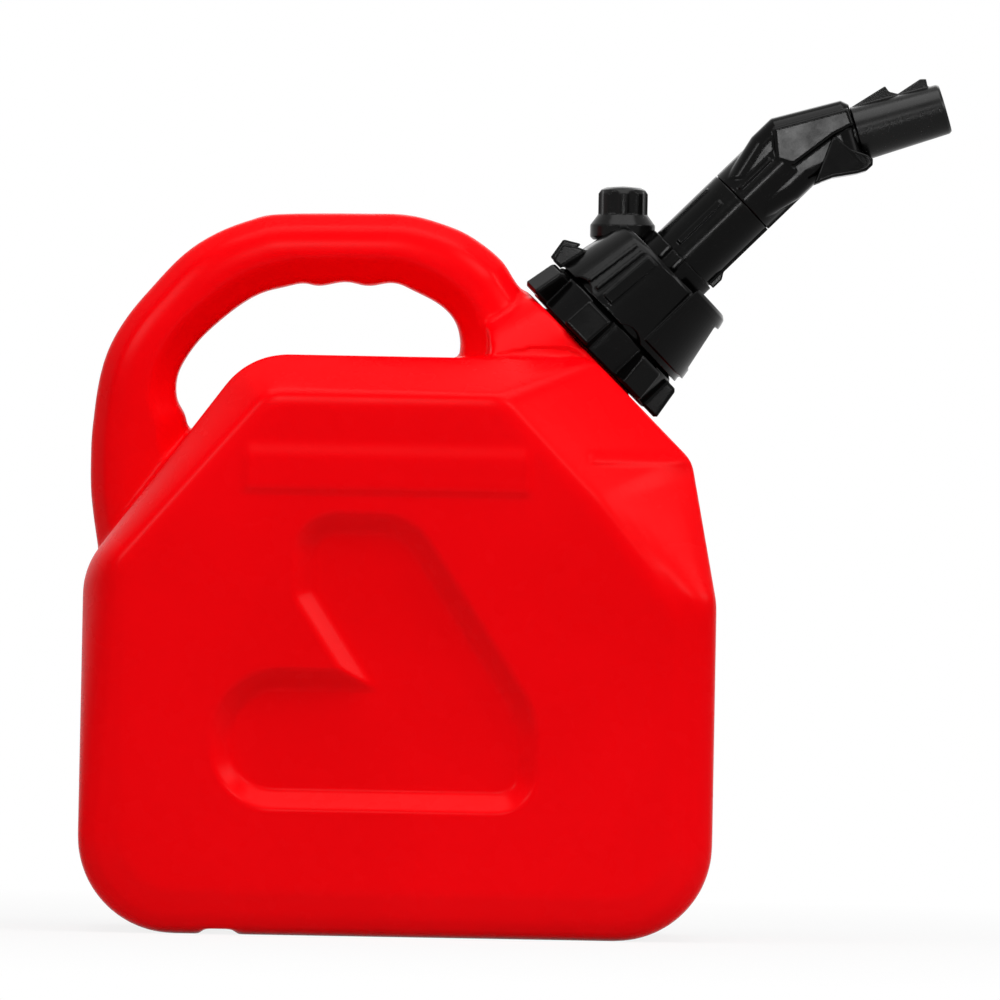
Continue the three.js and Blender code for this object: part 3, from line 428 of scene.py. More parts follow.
# Corners of the outer outline: x, z, radius, depth given up behind the ridge, roundness of the band
OUTER = [
    (-HALF_WIDTH, 0, FOOT_ROUND, SIDE_ROUND, 1.0),
    (HALF_WIDTH, 0, FOOT_ROUND, SIDE_ROUND, 1.0),
    (HALF_WIDTH, SIDE_BEND_Z, CORNER_ROUND, SIDE_ROUND, 1.0),
    (FACET_SUM - LEAN_TOP_Z, LEAN_TOP_Z, SIDE_ROUND, NECK_DROP, 0.15),
    (FACET_SUM - BODY_HEIGHT, BODY_HEIGHT, SIDE_ROUND, NECK_DROP, 0.1),
    (CHAMFER_TOP_X, BODY_HEIGHT, CORNER_ROUND, SHOULDER_DROP, 0.1),
    (-HALF_WIDTH, CHAMFER_FOOT_Z, CORNER_ROUND, SHOULDER_DROP, 0.5),
]
RIDGE_TOP = BODY_HEIGHT - SHOULDER_BAND
RIDGE_X = HALF_WIDTH - SIDE_ROUND
RIDGE_FOOT_Z = SIDE_BEND_Z - SIDE_ROUND / 4
RIDGE_TOP_X = 0.55 * NECK_X
RIDGE_BULGE = SIDE_ROUND / 8
BAND_RINGS = 9
RIDGE = [
    (-RIDGE_X, SIDE_ROUND, FOOT_ROUND - SIDE_ROUND),
    (RIDGE_X, SIDE_ROUND, FOOT_ROUND - SIDE_ROUND),
    (RIDGE_X, RIDGE_FOOT_Z, CORNER_ROUND - SIDE_ROUND),
    ((RIDGE_X + RIDGE_TOP_X) / 2 + RIDGE_BULGE, (RIDGE_FOOT_Z + RIDGE_TOP) / 2 + RIDGE_BULGE,
     CORNER_ROUND),
    (RIDGE_TOP_X, RIDGE_TOP, SIDE_ROUND),
    (CHAMFER_TOP_X + SHOULDER_BAND / 2, RIDGE_TOP, SIDE_ROUND),
    (1 - RIDGE_X, CHAMFER_FOOT_Z + SIDE_ROUND / 4, SIDE_ROUND),
]


def tank():
    outer = round_outline(OUTER)
    ridge = round_outline(RIDGE)
    face = round_outline(inset_corners(RIDGE, FACE_EDGE))
    front = [[(x, -HALF_DEPTH, z) for x, z, _ in face]]
    for share in np.linspace(0, 1, BAND_RINGS):
        ring = []
        for (ox, oz, corner), (rx, rz, _) in zip(outer, ridge):
            drop, roundness = OUTER[corner][3:]
            turn = share * math.pi / 2
            along = share + (math.sin(turn) - share) * roundness
            down = share + (1 - math.cos(turn) - share) * roundness
            y = -(HALF_DEPTH - FACE_EDGE / 4) + (drop - FACE_EDGE / 4) * down
            ring.append((rx + (ox - rx) * along, y, rz + (oz - rz) * along))
        front.append(ring)
    back = [[(x, -y, z) for x, y, z in ring] for ring in reversed(front)]
    return loft(front + back)


# The handle: outer line and finger hole, as shares of the half width and of the rise
HANDLE_BASE = BODY_HEIGHT + 1.9
HANDLE_RISE = 61.0
HANDLE_HALF = 21.0
HANDLE_OUTER_SHARES = [
    (-0.95, -1.6), (-0.985, -1.1), (-0.99, -0.76), (-0.985, -0.54), (-0.968, -0.236), (-0.938, 0),
    (-0.884, 0.22), (-0.81, 0.43), (-0.709, 0.677), (-0.609, 0.833), (-0.497, 0.938),
    (-0.4, 0.985), (-0.1, 1), (0.018, 0.99), (0.132, 0.92), (0.211, 0.838), (0.3, 0.684),
    (0.35, 0.52), (0.44, 0.25),
]
HANDLE_HOLE_SHARES = [
    (-0.6, -1.1), (-0.69, -0.85), (-0.685, -0.62), (-0.693, -0.477), (-0.713, -0.398),
    (-0.723, -0.326), (-0.72, -0.197), (-0.694, -0.066), (-0.644, 0.087), (-0.567, 0.249),
    (-0.501, 0.36), (-0.449, 0.42), (-0.386, 0.459), (-0.324, 0.49), (-0.276, 0.47),
    (-0.191, 0.505), (-0.119, 0.477), (-0.038, 0.505), (0.026, 0.447), (0.096, 0.37),
    (0.14, 0.29), (0.165, 0.2), (0.176, 0.08), (0.174, 0), (0.17, -0.3), (0.16, -1.1),
]
# Two more points close the handle's outline inside the tank
HANDLE_ROOT_SHARES = [(0.35, -0.5), (-0.6, -1.6)]


def spline(points, steps=8):
    """Catmull-Rom curve through (x, z) points."""
    line = np.array([points[0], *points, points[-1]], dtype=float)
    out = []
    for i in range(1, len(line) - 2):
        p0, p1, p2, p3 = line[i - 1:i + 3]
        for k in range(steps):
            t = k / steps
            square = (2 * p0 - 5 * p1 + 4 * p2 - p3) * t * t
            cube = (3 * p1 - p0 - 3 * p2 + p3) * t ** 3
            out.append(tuple(0.5 * (2 * p1 + (p2 - p0) * t + square + cube)))
    out.append(tuple(points[-1]))
    return out


def handle_place(share):
    return share[0] * HALF_WIDTH, HANDLE_BASE + share[1] * HANDLE_RISE


# Section of the handle's outer edge: inset from the outline, half depth there
HANDLE_EDGE = [(17, HANDLE_HALF), (13, HANDLE_HALF - 0.5), (7.2, HANDLE_HALF - 2.6),
               (6, HANDLE_HALF - 3.6), (1.6, HANDLE_HALF - 9.6), (0, HANDLE_HALF - 12.5)]


def handle_section(outline):
    """Rings of a thick plate with an edge band, a ridge and a face that leans back towards it."""
    rings = [[(x, -y, z) for x, z in shrink(outline, inset)] for inset, y in HANDLE_EDGE]
    return rings + [[(x, -y, z) for x, y, z in ring] for ring in reversed(rings)]


def eased(outline, rounds):
    """Evens out the bumps of a closed outline."""
    line = np.array(outline, dtype=float)
    for _ in range(rounds):
        line = (np.roll(line, 1, axis=0) + 2 * line + np.roll(line, -1, axis=0)) / 4
    return line


# Bevel of the finger hole: reach past the smoothed hole, half depth there, share of that line
HANDLE_BEVEL = [(14, 40, 1), (12.5, HANDLE_HALF + 0.2, 1), (11, HANDLE_HALF - 1.2, 0.9),
                (3.4, HANDLE_HALF - 8.5, 0.6), (1.0, HANDLE_HALF - 13, 0.3), (0, 4, 0)]
HOLE_ROUNDS = 60


def handle_shapes():
    outer = spline([handle_place(share) for share in HANDLE_OUTER_SHARES])
    solid = outer + [handle_place(share) for share in HANDLE_ROOT_SHARES]
    hole = spline([handle_place(share) for share in HANDLE_HOLE_SHARES])
    body = loft(handle_section(solid))
    smooth = eased(hole, HOLE_ROUNDS)
    opening = []
    for reach, y, ease in HANDLE_BEVEL:
        line = (1 - ease) * np.array(hole) + ease * shrink(smooth, -reach)
        opening.append([(x, -y, z) for x, z in line])
    opening += [[(x, -y, z) for x, y, z in ring] for ring in reversed(opening)]
    return body, loft(opening)


def polygon_distance(points, outline):
    """Signed distance from points to a closed outline, negative inside."""
    line = np.array(outline, dtype=float)
    start, end = line, np.roll(line, -1, axis=0)
    span = end - start
    rel = points[:, None, :] - start[None]
    length = np.maximum(np.sum(span * span, axis=1), TINY_SPAN)
    share = np.clip(np.sum(rel * span, axis=2) / length, 0, 1)
    near = np.min(np.linalg.norm(rel - share[..., None] * span, axis=2), axis=1)
    crosses = (start[:, 1] > points[:, None, 1]) != (end[:, 1] > points[:, None, 1])
    rise = np.where(span[:, 1] == 0, TINY_SPAN, span[:, 1])
    slope_x = start[:, 0] + (points[:, None, 1] - start[:, 1]) * span[:, 0] / rise
    inside = np.sum(crosses & (points[:, None, 0] < slope_x), axis=1) % 2 == 1
    return np.where(inside, -near, near)


# Recess lobes: x share of the half width, z share of the height, radius share of the base rounding
RECESS_LOBE_SHARES = [
    [(-0.335, 0.728, 1.0), (-0.335, 0.584, 0.4), (0.078, 0.24, 0.6), (0.443, 0.24, 1.2),
     (0.443, 0.389, 1.1), (0.04, 0.728, 0.8)],
    [(-0.586, 0.459, 0.9), (-0.586, 0.216, 0.8), (0.443, 0.216, 0.95), (0.443, 0.36, 0.6),
     (0.29, 0.459, 0.6)],
]
LOBE_STEPS = 10
# The recess wall is part a soft step and part a straight slope
SOFT_SHARE = 0.25
STRAIGHT_SHARE = 0.75
FAR = 1e3
# Bare plate and small ledge: from x, to x, from z, to z. Each fades into the face at its top
BARE_PLATE = (-69.3, 57.0, 193.0, 217.0)
PLATE_PROUD = 1.1
PLATE_FADE = 2.5
LEDGE = (81.0, 125.0, 207.3, 214.5)
LEDGE_PROUD = 0.7
LEDGE_FADE = 2
LEDGE_FOOT = 1.6
RAISED_EDGE = 2.0
# Points this far from the middle plane belong to a broad face, and take the push as they face it
BROAD_FROM = HALF_DEPTH - 40
FACING_GAIN = 1.4
FACING_START = 0.2


def soft_step(value):
    value = np.clip(value, 0, 1)
    return value * value * (3 - 2 * value)


def raised_place(spots, area):
    """Distance inside an area's sides and foot, share below its top, and which lie below it."""
    x0, x1, z0, z1 = area
    side = np.minimum(spots[:, 0] - x0, x1 - spots[:, 0])
    fade = np.clip((z1 - spots[:, 1]) / (z1 - z0), 0, 1)
    return side, spots[:, 1] - z0, fade, spots[:, 1] < z1


def press_faces(piece):
    """Presses the recess, the bare plate and the ledge into both broad faces, along Y."""
    mesh = piece.data
    count = len(mesh.vertices)
    place = np.empty(count * 3)
    normal = np.empty(count * 3)
    mesh.vertices.foreach_get("co", place)
    mesh.vertices.foreach_get("normal", normal)
    place, normal = place.reshape(-1, 3) / MM, normal.reshape(-1, 3)
    broad = np.abs(place[:, 1]) > BROAD_FROM
    spots = place[broad][:, [0, 2]]
    depth = np.full(len(spots), FAR)
    for lobe in RECESS_LOBE_SHARES:
        corners = [(x * HALF_WIDTH, z * BODY_HEIGHT, r * CORNER_ROUND) for x, z, r in lobe]
        outline = [(x, z) for x, z, _ in round_outline(corners, LOBE_STEPS)]
        depth = np.minimum(depth, polygon_distance(spots, outline))
    inside = -depth / RECESS_SLOPE
    push = RECESS_DEPTH * (SOFT_SHARE * soft_step(inside) + STRAIGHT_SHARE * np.clip(inside, 0, 1))
    # The faces sit back by the height of the bare plate, which then ends flush with the CAD's face
    push += PLATE_PROUD
    side, foot, fade, below = raised_place(spots, BARE_PLATE)
    raised = PLATE_PROUD * soft_step(np.minimum(side, foot) / RAISED_EDGE)
    push -= raised * soft_step(fade * PLATE_FADE) * below
    side, foot, fade, below = raised_place(spots, LEDGE)
    raised = LEDGE_PROUD * soft_step(side / RAISED_EDGE) * soft_step(foot / LEDGE_FOOT)
    push -= raised * soft_step(fade * LEDGE_FADE) * below
    facing = np.clip(np.abs(normal[broad, 1]) * FACING_GAIN - FACING_START, 0, 1)
    place[broad, 1] -= np.sign(place[broad, 1]) * push * facing
    mesh.vertices.foreach_set("co", (place * MM).ravel())
    mesh.update()


# The neck and its boss, in the frame of the neck: Z runs out along its axis
BOSS_RADIUS = 38.0
BOSS_PROFILE = [(0, -60), (58, -60), (46, -26), (BOSS_RADIUS, 0), (0, 0)]
NECK_RADIUS = 25
NECK_ROOT = -30
NECK_MOUTH = 14.5
CHANNEL_X = -0.55 * HALF_WIDTH
CHANNEL_HALF = 8
CHANNEL_HIGH = 2.3
OVERRUN = 5


def can_piece():
    body, opening = handle_shapes()
    boss = turned(lathe(BOSS_PROFILE), NECK)
    handle_shape = shape_of(combine("handle", [body, boss], [opening]))
    neck = turned(rod(NECK_RADIUS, NECK_ROOT, NECK_MOUTH), NECK)
    channel = block((CHANNEL_X - CHANNEL_HALF, -HALF_DEPTH - OVERRUN, -OVERRUN),
                    (CHANNEL_X + CHANNEL_HALF, HALF_DEPTH + OVERRUN, CHANNEL_HIGH))
    piece = moulded("can", [tank(), handle_shape, neck], [channel], Matrix(), CAN_SOFTNESS)
    press_faces(piece)
    return piece


# Spout sizes that several pieces share, in the frame of the neck
OVERLAP = 1
SHROUD_LOW = 19.2
SHROUD_HIGH = 50.0
SHROUD_RADIUS = 30.1
SHROUD_FLARE = 0.2
SHROUD_BASE_RADIUS = SHROUD_RADIUS + (SHROUD_HIGH - SHROUD_LOW) * SHROUD_FLARE
DECK_LOW = SHROUD_HIGH - 4
COLUMN_RADIUS = 19.5
SPOUT_END = 90
LUG_COUNT = 7
KNOB_X, KNOB_Y, KNOB_Z = NECK_X + 15.05, 9.0, NECK_Z + 49.75
KNOB_RADIUS = 14.3
KNOB_STAND = NECK.inverted() @ Matrix.Translation((KNOB_X, KNOB_Y, 0))
STUB_RADIUS = 8.6
TAB_HALF = 8.0
SLEEVE_RADIUS = 16.2
SLEEVE_FOOT = 64.0
SLEEVE_TOP = 95.0
KEEL_HALF = 4.6
RIB_SINK = 0.8
RIB_RISE = 0.8
ELBOW_Z = 126.6
ELBOW_BEND = 0.4835
ELBOW_SHIFT = Matrix.Translation((0, 0, ELBOW_Z))
ELBOW_TURN = Matrix.Rotation(ELBOW_BEND, 4, "Y")
TO_ELBOW = ELBOW_SHIFT @ ELBOW_TURN
ELBOW = NECK @ ELBOW_SHIFT @ ELBOW_TURN
ELBOW_HALF_HEIGHT = 16.0
NOZZLE_START = 29.0

# The turning ring
RING_LOW = 1.0
RING_SKIRT_HIGH = 18.6
RING_SKIRT_RADIUS = 34.5
RING_NECK_RADIUS = 29.4
RING_LIP_RADIUS = 32.6
RING_LIP_HIGH = 22.4
RING_BORE = 27.0
RING_TOP_LOW = 21.9
RING_HIGH = 25.0
RING_PLAY = 0.6
RING_FOOT_EDGE = 0.6
RING_TOP_EDGE = 1
RING_WALL = 2.4
LUG_REACH = 42.0
LUG_LEAN = 2.4
LUG_HIGH = 17.0
LUG_HALF = 7.0
LUG_CHAMFER = 1.2
LUG_BEVEL = 1.0


def collar_ring():
    bore = COLUMN_RADIUS + RING_PLAY
    adds = [lathe([
        (RING_BORE, RING_LOW), (RING_SKIRT_RADIUS - RING_FOOT_EDGE, RING_LOW),
        (RING_SKIRT_RADIUS, RING_LOW + RING_FOOT_EDGE),
        (RING_SKIRT_RADIUS, RING_SKIRT_HIGH - RING_TOP_EDGE),
        (RING_SKIRT_RADIUS - RING_TOP_EDGE, RING_SKIRT_HIGH), (RING_LIP_RADIUS, RING_SKIRT_HIGH),
        (RING_LIP_RADIUS, RING_LIP_HIGH), (RING_NECK_RADIUS, RING_LIP_HIGH),
        (RING_NECK_RADIUS, RING_HIGH), (bore, RING_HIGH), (bore, RING_TOP_LOW),
        (RING_BORE, RING_TOP_LOW)])]
    root, low = RING_SKIRT_RADIUS - RING_WALL, RING_LOW + RING_FOOT_EDGE
    top = LUG_REACH - LUG_LEAN
    lug = plate([
        (root, low), (LUG_REACH - LUG_CHAMFER, low), (LUG_REACH, low + LUG_CHAMFER),
        (top, LUG_HIGH - LUG_CHAMFER), (top - LUG_CHAMFER, LUG_HIGH), (root, LUG_HIGH),
    ], LUG_HALF, LUG_BEVEL)
    for k in range(LUG_COUNT):
        adds.append(about_z(lug, 2 * math.pi * k / LUG_COUNT))
    return moulded("ring", adds, [], NECK, HOUSING_SOFTNESS)


# The shroud: rim, deck, the wing on the far side of the spout, ribs, pad and notches
RIM_HIGH = 51.6
RIM_DROP = 1.6
RIM_ROUND = 1.4
RIM_WALL = 3
SHROUD_WALL = 2.2
SHROUD_PLAY = 0.3
DECK_THICK = 2.5
WING_TOP = SHROUD_HIGH + 4.6
WING_FOOT = SHROUD_LOW + 3
WING_START_X = 14.2
WING_REACH = 80
WING_CUT_LOW = -10
WING_ROOT = 1
WING_FOOT_PROUD = 1.4
WING_SHOULDER = (2.6, 4)
WING_CREST = (1.8, 1.4)
SHROUD_RIBS = [(-0.205, 0.9), (-0.155, 0.9), (-0.09, 2.6)]  # turn as a share of pi, half width
SHROUD_RIB_ROOT = 1
SHROUD_RIB_TOP = SHROUD_HIGH - 1.5
SHROUD_RIB_FOOT = SHROUD_LOW + 3.5
SHROUD_RIB_FOOT_PROUD = 0.6
SHROUD_RIB_TOP_PROUD = 1.2
# Wedge cheeks beside the tab
EAR = [(-39.4, 17.6), (-41.4, 25.4), (-35.5, 29.6), (-31.5, 31.4), (-33.2, 22.4), (-34.6, 17.6)]
EAR_HALF = 1.3
EAR_STAND = TAB_HALF + 1.6
PAD_TOP = WING_TOP - 6
PAD_FOOT = SHROUD_LOW + 8
PAD_TOP_PROUD = 1.0
PAD_FOOT_SUNK = 0.2
PAD_REACH = 9
PAD_HALF = 19
PLAIN_SIDES = (0, (LUG_COUNT - 1) // 2, LUG_COUNT - 1)
NOTCH_RADIUS = 9
NOTCH_REACH = 6
NOTCH_DROP = 6.4
NOTCH_SIDES = 32
KNOB_PLAY = 0.5
KNOB_ROOM = 50
STUB_SINK = 6
STUB_RISE = 8


def knob_room():
    room = rod(KNOB_RADIUS + KNOB_PLAY, KNOB_Z - KNOB_PLAY, KNOB_Z + KNOB_ROOM)
    return turned(room, KNOB_STAND)


def shroud_wing(inner_top, inner_base):
    """Raised band round the side of the shroud that faces away from the tab."""
    band = lathe([
        (inner_base + WING_ROOT, WING_FOOT), (SHROUD_BASE_RADIUS + WING_FOOT_PROUD, WING_FOOT),
        (SHROUD_RADIUS + WING_SHOULDER[0], WING_TOP - WING_SHOULDER[1]),
        (SHROUD_RADIUS + WING_CREST[0], WING_TOP - WING_CREST[1]), (SHROUD_RADIUS, WING_TOP),
        (SHROUD_RADIUS - RIM_WALL, WING_TOP), (inner_top, DECK_LOW)])
    rest = block((-WING_REACH, -WING_REACH, WING_CUT_LOW), (WING_START_X, WING_REACH, SPOUT_END))
    return shape_of(combine("wing", [band], [rest]))


def shroud():
    bore = COLUMN_RADIUS + SHROUD_PLAY
    deck = DECK_LOW + DECK_THICK
    inner_top = SHROUD_RADIUS - SHROUD_WALL
    inner_base = SHROUD_BASE_RADIUS - SHROUD_WALL
    adds = [lathe([
        (bore, DECK_LOW), (inner_top, DECK_LOW), (inner_base, SHROUD_LOW),
        (SHROUD_BASE_RADIUS, SHROUD_LOW), (SHROUD_RADIUS, RIM_HIGH - RIM_DROP),
        (SHROUD_RADIUS - RIM_ROUND, RIM_HIGH), (SHROUD_RADIUS - RIM_WALL, RIM_HIGH),
        (SHROUD_RADIUS - RIM_WALL, deck), (bore, deck)])]
    adds.append(shroud_wing(inner_top, inner_base))
    for side in (-1, 1):
        for turn_share, width in SHROUD_RIBS:
            rib = plate([
                (SHROUD_RADIUS - SHROUD_RIB_ROOT, SHROUD_RIB_TOP),
                (SHROUD_BASE_RADIUS - SHROUD_RIB_ROOT, SHROUD_RIB_FOOT),
                (SHROUD_BASE_RADIUS + SHROUD_RIB_FOOT_PROUD, SHROUD_RIB_FOOT),
                (SHROUD_RADIUS + SHROUD_RIB_TOP_PROUD, SHROUD_RIB_TOP),
            ], width)
            adds.append(about_z(rib, side * (math.pi / 2 - turn_share * math.pi)))
        adds.append(turned(plate(EAR, EAR_HALF), Matrix.Translation((0, side * EAR_STAND, 0))))
    pad = plate([
        (SHROUD_RADIUS + PAD_TOP_PROUD, PAD_TOP), (SHROUD_BASE_RADIUS - PAD_FOOT_SUNK, PAD_FOOT),
        (SHROUD_BASE_RADIUS + PAD_REACH, PAD_FOOT), (SHROUD_RADIUS + PAD_REACH, PAD_TOP),
    ], PAD_HALF)
    cuts = [pad, knob_room()]
    flat = rod(NOTCH_RADIUS, SHROUD_BASE_RADIUS - NOTCH_REACH, SHROUD_BASE_RADIUS + NOTCH_REACH,
               NOTCH_SIDES)
    notch = turned(flat, Matrix.Translation((0, 0, SHROUD_LOW - NOTCH_DROP))
                   @ Matrix.Rotation(math.pi / 2, 4, "Y"))
    for k in range(LUG_COUNT):
        if k not in PLAIN_SIDES:
            cuts.append(about_z(notch, 2 * math.pi * (k + 0.5) / LUG_COUNT))
    base_shape = shape_of(combine("shroud_base", adds, cuts))
    stub = turned(rod(STUB_RADIUS, KNOB_Z - STUB_SINK, KNOB_Z + STUB_RISE), KNOB_STAND)
    return moulded("shroud", [base_shape, stub], [rod(bore, 0, SPOUT_END)], NECK,
                   HOUSING_SOFTNESS)


# The column: flange, socket round the sleeve's foot, guide tube with ribs, and bars
FLANGE_RADIUS = 26.4
FLANGE_LOW = 18.4
FLANGE_HIGH = 21.6
COLUMN_WALL = 2.6
SOCKET_BORE = 17.2
SOCKET_WALL = 1.2
SOCKET_FLOOR = 48.2
SOCKET_HIGH = 59.0
SLOT_PLAY = 0.6
GUIDE_RADIUS = 12.8
GUIDE_BORE = 11
GUIDE_TOP = 92
GUIDE_RIB_COUNT = 4
GUIDE_RIB_SINK = 0.6
GUIDE_RIB_HALF = 1.2
GUIDE_RIB_REACH = 14.0
GUIDE_RIB_DROP = 1.5
BAR_LOW = SHROUD_HIGH + 1
BAR_ROOT = -1.2
BAR_FOOT_REACH = 0.7
BAR_TOP_REACH = 1.5
BAR_HALF = 1.1
BAR_STAND = SOCKET_BORE + 1.7
BAR_PLACES = (90, 114)
BAR_FACING = 114


def spout_base():
    bore = COLUMN_RADIUS - COLUMN_WALL
    adds = [lathe([
        (bore, FLANGE_LOW), (FLANGE_RADIUS, FLANGE_LOW), (FLANGE_RADIUS, FLANGE_HIGH),
        (COLUMN_RADIUS, FLANGE_HIGH), (COLUMN_RADIUS, SOCKET_FLOOR), (GUIDE_RADIUS, SOCKET_FLOOR),
        (GUIDE_RADIUS, GUIDE_TOP), (GUIDE_BORE, GUIDE_TOP), (GUIDE_BORE, DECK_LOW),
        (bore, DECK_LOW)])]
    rib = block((GUIDE_RADIUS - GUIDE_RIB_SINK, -GUIDE_RIB_HALF, SOCKET_FLOOR - OVERLAP),
                (GUIDE_RIB_REACH, GUIDE_RIB_HALF, SLEEVE_FOOT - GUIDE_RIB_DROP))
    for k in range(GUIDE_RIB_COUNT):
        adds.append(about_z(rib, (2 * k + 1) * math.pi / GUIDE_RIB_COUNT))
    half = KEEL_HALF + SLOT_PLAY
    slot = block((0, -half, SOCKET_FLOOR), (COLUMN_RADIUS, half, SOCKET_HIGH + OVERLAP))
    wall = tube(SOCKET_BORE, SOCKET_BORE + SOCKET_WALL, SOCKET_FLOOR - OVERLAP, SOCKET_HIGH)
    adds.append(shape_of(combine("socket", [wall], [slot, knob_room()])))
    # Bars beside the sleeve: their sloped faces look the same way as its ribs
    bar = plate([(BAR_ROOT, BAR_LOW), (BAR_FOOT_REACH, BAR_LOW), (BAR_TOP_REACH, SOCKET_HIGH),
                 (BAR_ROOT, SOCKET_HIGH)], BAR_HALF)
    for side in (-1, 1):
        for place in BAR_PLACES:
            stand = (Matrix.Rotation(math.radians(side * place), 4, "Z")
                     @ Matrix.Translation((BAR_STAND, 0, 0)))
            facing = Matrix.Rotation(math.radians(side * (BAR_FACING - place)), 4, "Z")
            adds.append(turned(bar, stand @ facing))
    return moulded("spout_column", adds, [], NECK, HOUSING_SOFTNESS)


# The release tab, as shares of its height
TAB_REACH = SHROUD_BASE_RADIUS + 1.94
TAB_Z = 22.6
TAB_HEIGHT = 11.0
TAB_BEVEL = 0.5
TAB_SHARES = [(0.127, -0.44), (-0.26, -0.44), (-0.409, 0.382), (-0.364, 0.455), (0.164, 0.782),
              (0.218, 0.745), (0.182, 0.309)]


def release_tab():
    outline = [(x * TAB_HEIGHT - TAB_REACH, z * TAB_HEIGHT + TAB_Z) for x, z in TAB_SHARES]
    return moulded("tab", [plate(outline, TAB_HALF, TAB_BEVEL)], [], NECK, TAB_SOFTNESS)


# The vent knob: heights above its foot
SKIRT_EDGE = 1.4
SKIRT_HIGH = 6.6
KNOB_FLOOR = 10.6
CROWN_LOW = 11.2
CROWN_RADIUS = 10.9
CROWN_TOP = [(0, 20.4), (1.2, 22.2), (3.4, 23.2)]  # inset from the crown's radius, height
KNOB_HIGH = 23.8
KNOB_BORE = STUB_RADIUS + 0.6
CROWN_FLATS = 8
FLUTE_RADIUS = 6
FLUTE_STAND = 5.1
FLUTE_HIGH = 25
FLUTE_SIDES = 48


def vent_knob():
    z = KNOB_Z
    adds = [lathe([
        (KNOB_BORE, z), (KNOB_RADIUS - SKIRT_EDGE, z), (KNOB_RADIUS, z + SKIRT_EDGE),
        (KNOB_RADIUS, z + SKIRT_HIGH), (CROWN_RADIUS, z + CROWN_LOW),
        *((CROWN_RADIUS - inset, z + high) for inset, high in CROWN_TOP),
        (0, z + KNOB_HIGH), (0, z + KNOB_FLOOR), (KNOB_BORE, z + KNOB_FLOOR)])]
    flute = turned(rod(FLUTE_RADIUS, z + CROWN_LOW, z + FLUTE_HIGH, FLUTE_SIDES),
                   Matrix.Translation((CROWN_RADIUS + FLUTE_STAND, 0, 0)))
    cuts = [about_z(flute, 2 * math.pi * (k + 0.5) / CROWN_FLATS) for k in range(CROWN_FLATS)]
    return moulded("knob", adds, cuts, Matrix.Translation((KNOB_X, KNOB_Y, 0)), KNOB_SOFTNESS)


# The sliding sleeve: its keel runs down one side, and its top plugs into the elbow
SLEEVE_BORE = 14.3
FOOT_LOW = 59.8
SLEEVE_LOW = FOOT_LOW - 1.3
PLUG_RADIUS = 14.87
PLUG_BORE = 13.2
PLUG_LOW = 93
PLUG_TOP = 98.7
KEEL_SINK = 0.4
KEEL_RISE = 0.3
KEEL_HEEL_RADIUS = 18.4
KEEL_HEEL_HIGH = 65
KEEL_HEEL_END = 68
SLEEVE_RIBS = [(0.633, 1.25), (0.845, 0.8)]  # turn as a share of pi, half width
SLEEVE_RIB_LIFT = 3
SLEEVE_RIB_DROP = 7


def sleeve():
    adds = [lathe([
        (SLEEVE_BORE, SLEEVE_LOW), (SLEEVE_RADIUS, SLEEVE_LOW), (SLEEVE_RADIUS, SLEEVE_TOP),
        (PLUG_RADIUS, SLEEVE_TOP), (PLUG_RADIUS, PLUG_TOP), (PLUG_BORE, PLUG_TOP),
        (PLUG_BORE, PLUG_LOW), (SLEEVE_BORE, PLUG_LOW)])]
    inner, outer = SLEEVE_BORE + KEEL_SINK, SLEEVE_RADIUS + KEEL_RISE
    adds.append(plate([
        (inner, FOOT_LOW), (inner, SLEEVE_TOP), (outer, SLEEVE_TOP), (outer, KEEL_HEEL_END),
        (KEEL_HEEL_RADIUS, KEEL_HEEL_HIGH), (KEEL_HEEL_RADIUS, FOOT_LOW),
    ], KEEL_HALF))
    for side in (-1, 1):
        for share, half in SLEEVE_RIBS:
            rib = block((SLEEVE_RADIUS - RIB_SINK, -half, FOOT_LOW + SLEEVE_RIB_LIFT),
                        (SLEEVE_RADIUS + RIB_RISE, half, SLEEVE_TOP - SLEEVE_RIB_DROP))
            adds.append(about_z(rib, side * share * math.pi))
    return moulded("sleeve", adds, [], NECK, SLEEVE_SOFTNESS)


def on_outlet(u, v):
    """Place in the neck frame of a point u along the outlet's axis and v above it."""
    s, c = math.sin(ELBOW_BEND), math.cos(ELBOW_BEND)
    return s * u - c * v, ELBOW_Z + c * u + s * v


def on_elbow(shares):
    return [on_outlet(u * NOZZLE_START, v * ELBOW_HALF_HEIGHT) for u, v in shares]


# The elbow: outlines as shares of the outlet's start and of the half height
ELBOW_SHARES = [(0.166, -0.99), (1, -0.775), (1, 0.85), (0.9, 1.01)]
ELBOW_START_INSET = 3.6
ELBOW_START_Z = 97
ELBOW_FULL_Z = 114
ELBOW_BACK = [(-17.7, 129.8), (-17.7, 118)]
ELBOW_HALF = 14.7
ELBOW_BEVEL = 7.0
ELBOW_BEVEL_STEPS = 8
ELBOW_LOW = SLEEVE_TOP + 0.3
ELBOW_TUBE_TOP = ELBOW_Z - 5
# Raised flat cheek, as places along and above the outlet's axis
CHEEK = [(-8.6, -1.1), (-1.6, -5.5), (19, 2.3), (28.6, 4.2), (28.2, 11.9), (-5.9, 12.7)]
CHEEK_HALF = 16.4
CHEEK_BEVEL = 1.2
ELBOW_RIB_TURN_SHARE = 0.6
ELBOW_RIB_HALF = 0.8
ELBOW_RIB_LIFT = 3
ELBOW_RIB_TOP = 116.7
ELBOW_KEEL = (14.7, 16.5, 122.6)
# Bores of the elbow: radius, low and high along the neck's axis, or along the outlet's
ELBOW_BORES = [(14.97, ELBOW_LOW - OVERLAP, 99), (13.2, ELBOW_LOW - OVERLAP, 117),
               (7.6, ELBOW_LOW - OVERLAP, ELBOW_Z), (11, 120, 135.8)]
OUTLET_BORES = [(9.8, 0, 30), (11.3, 19, 30)]


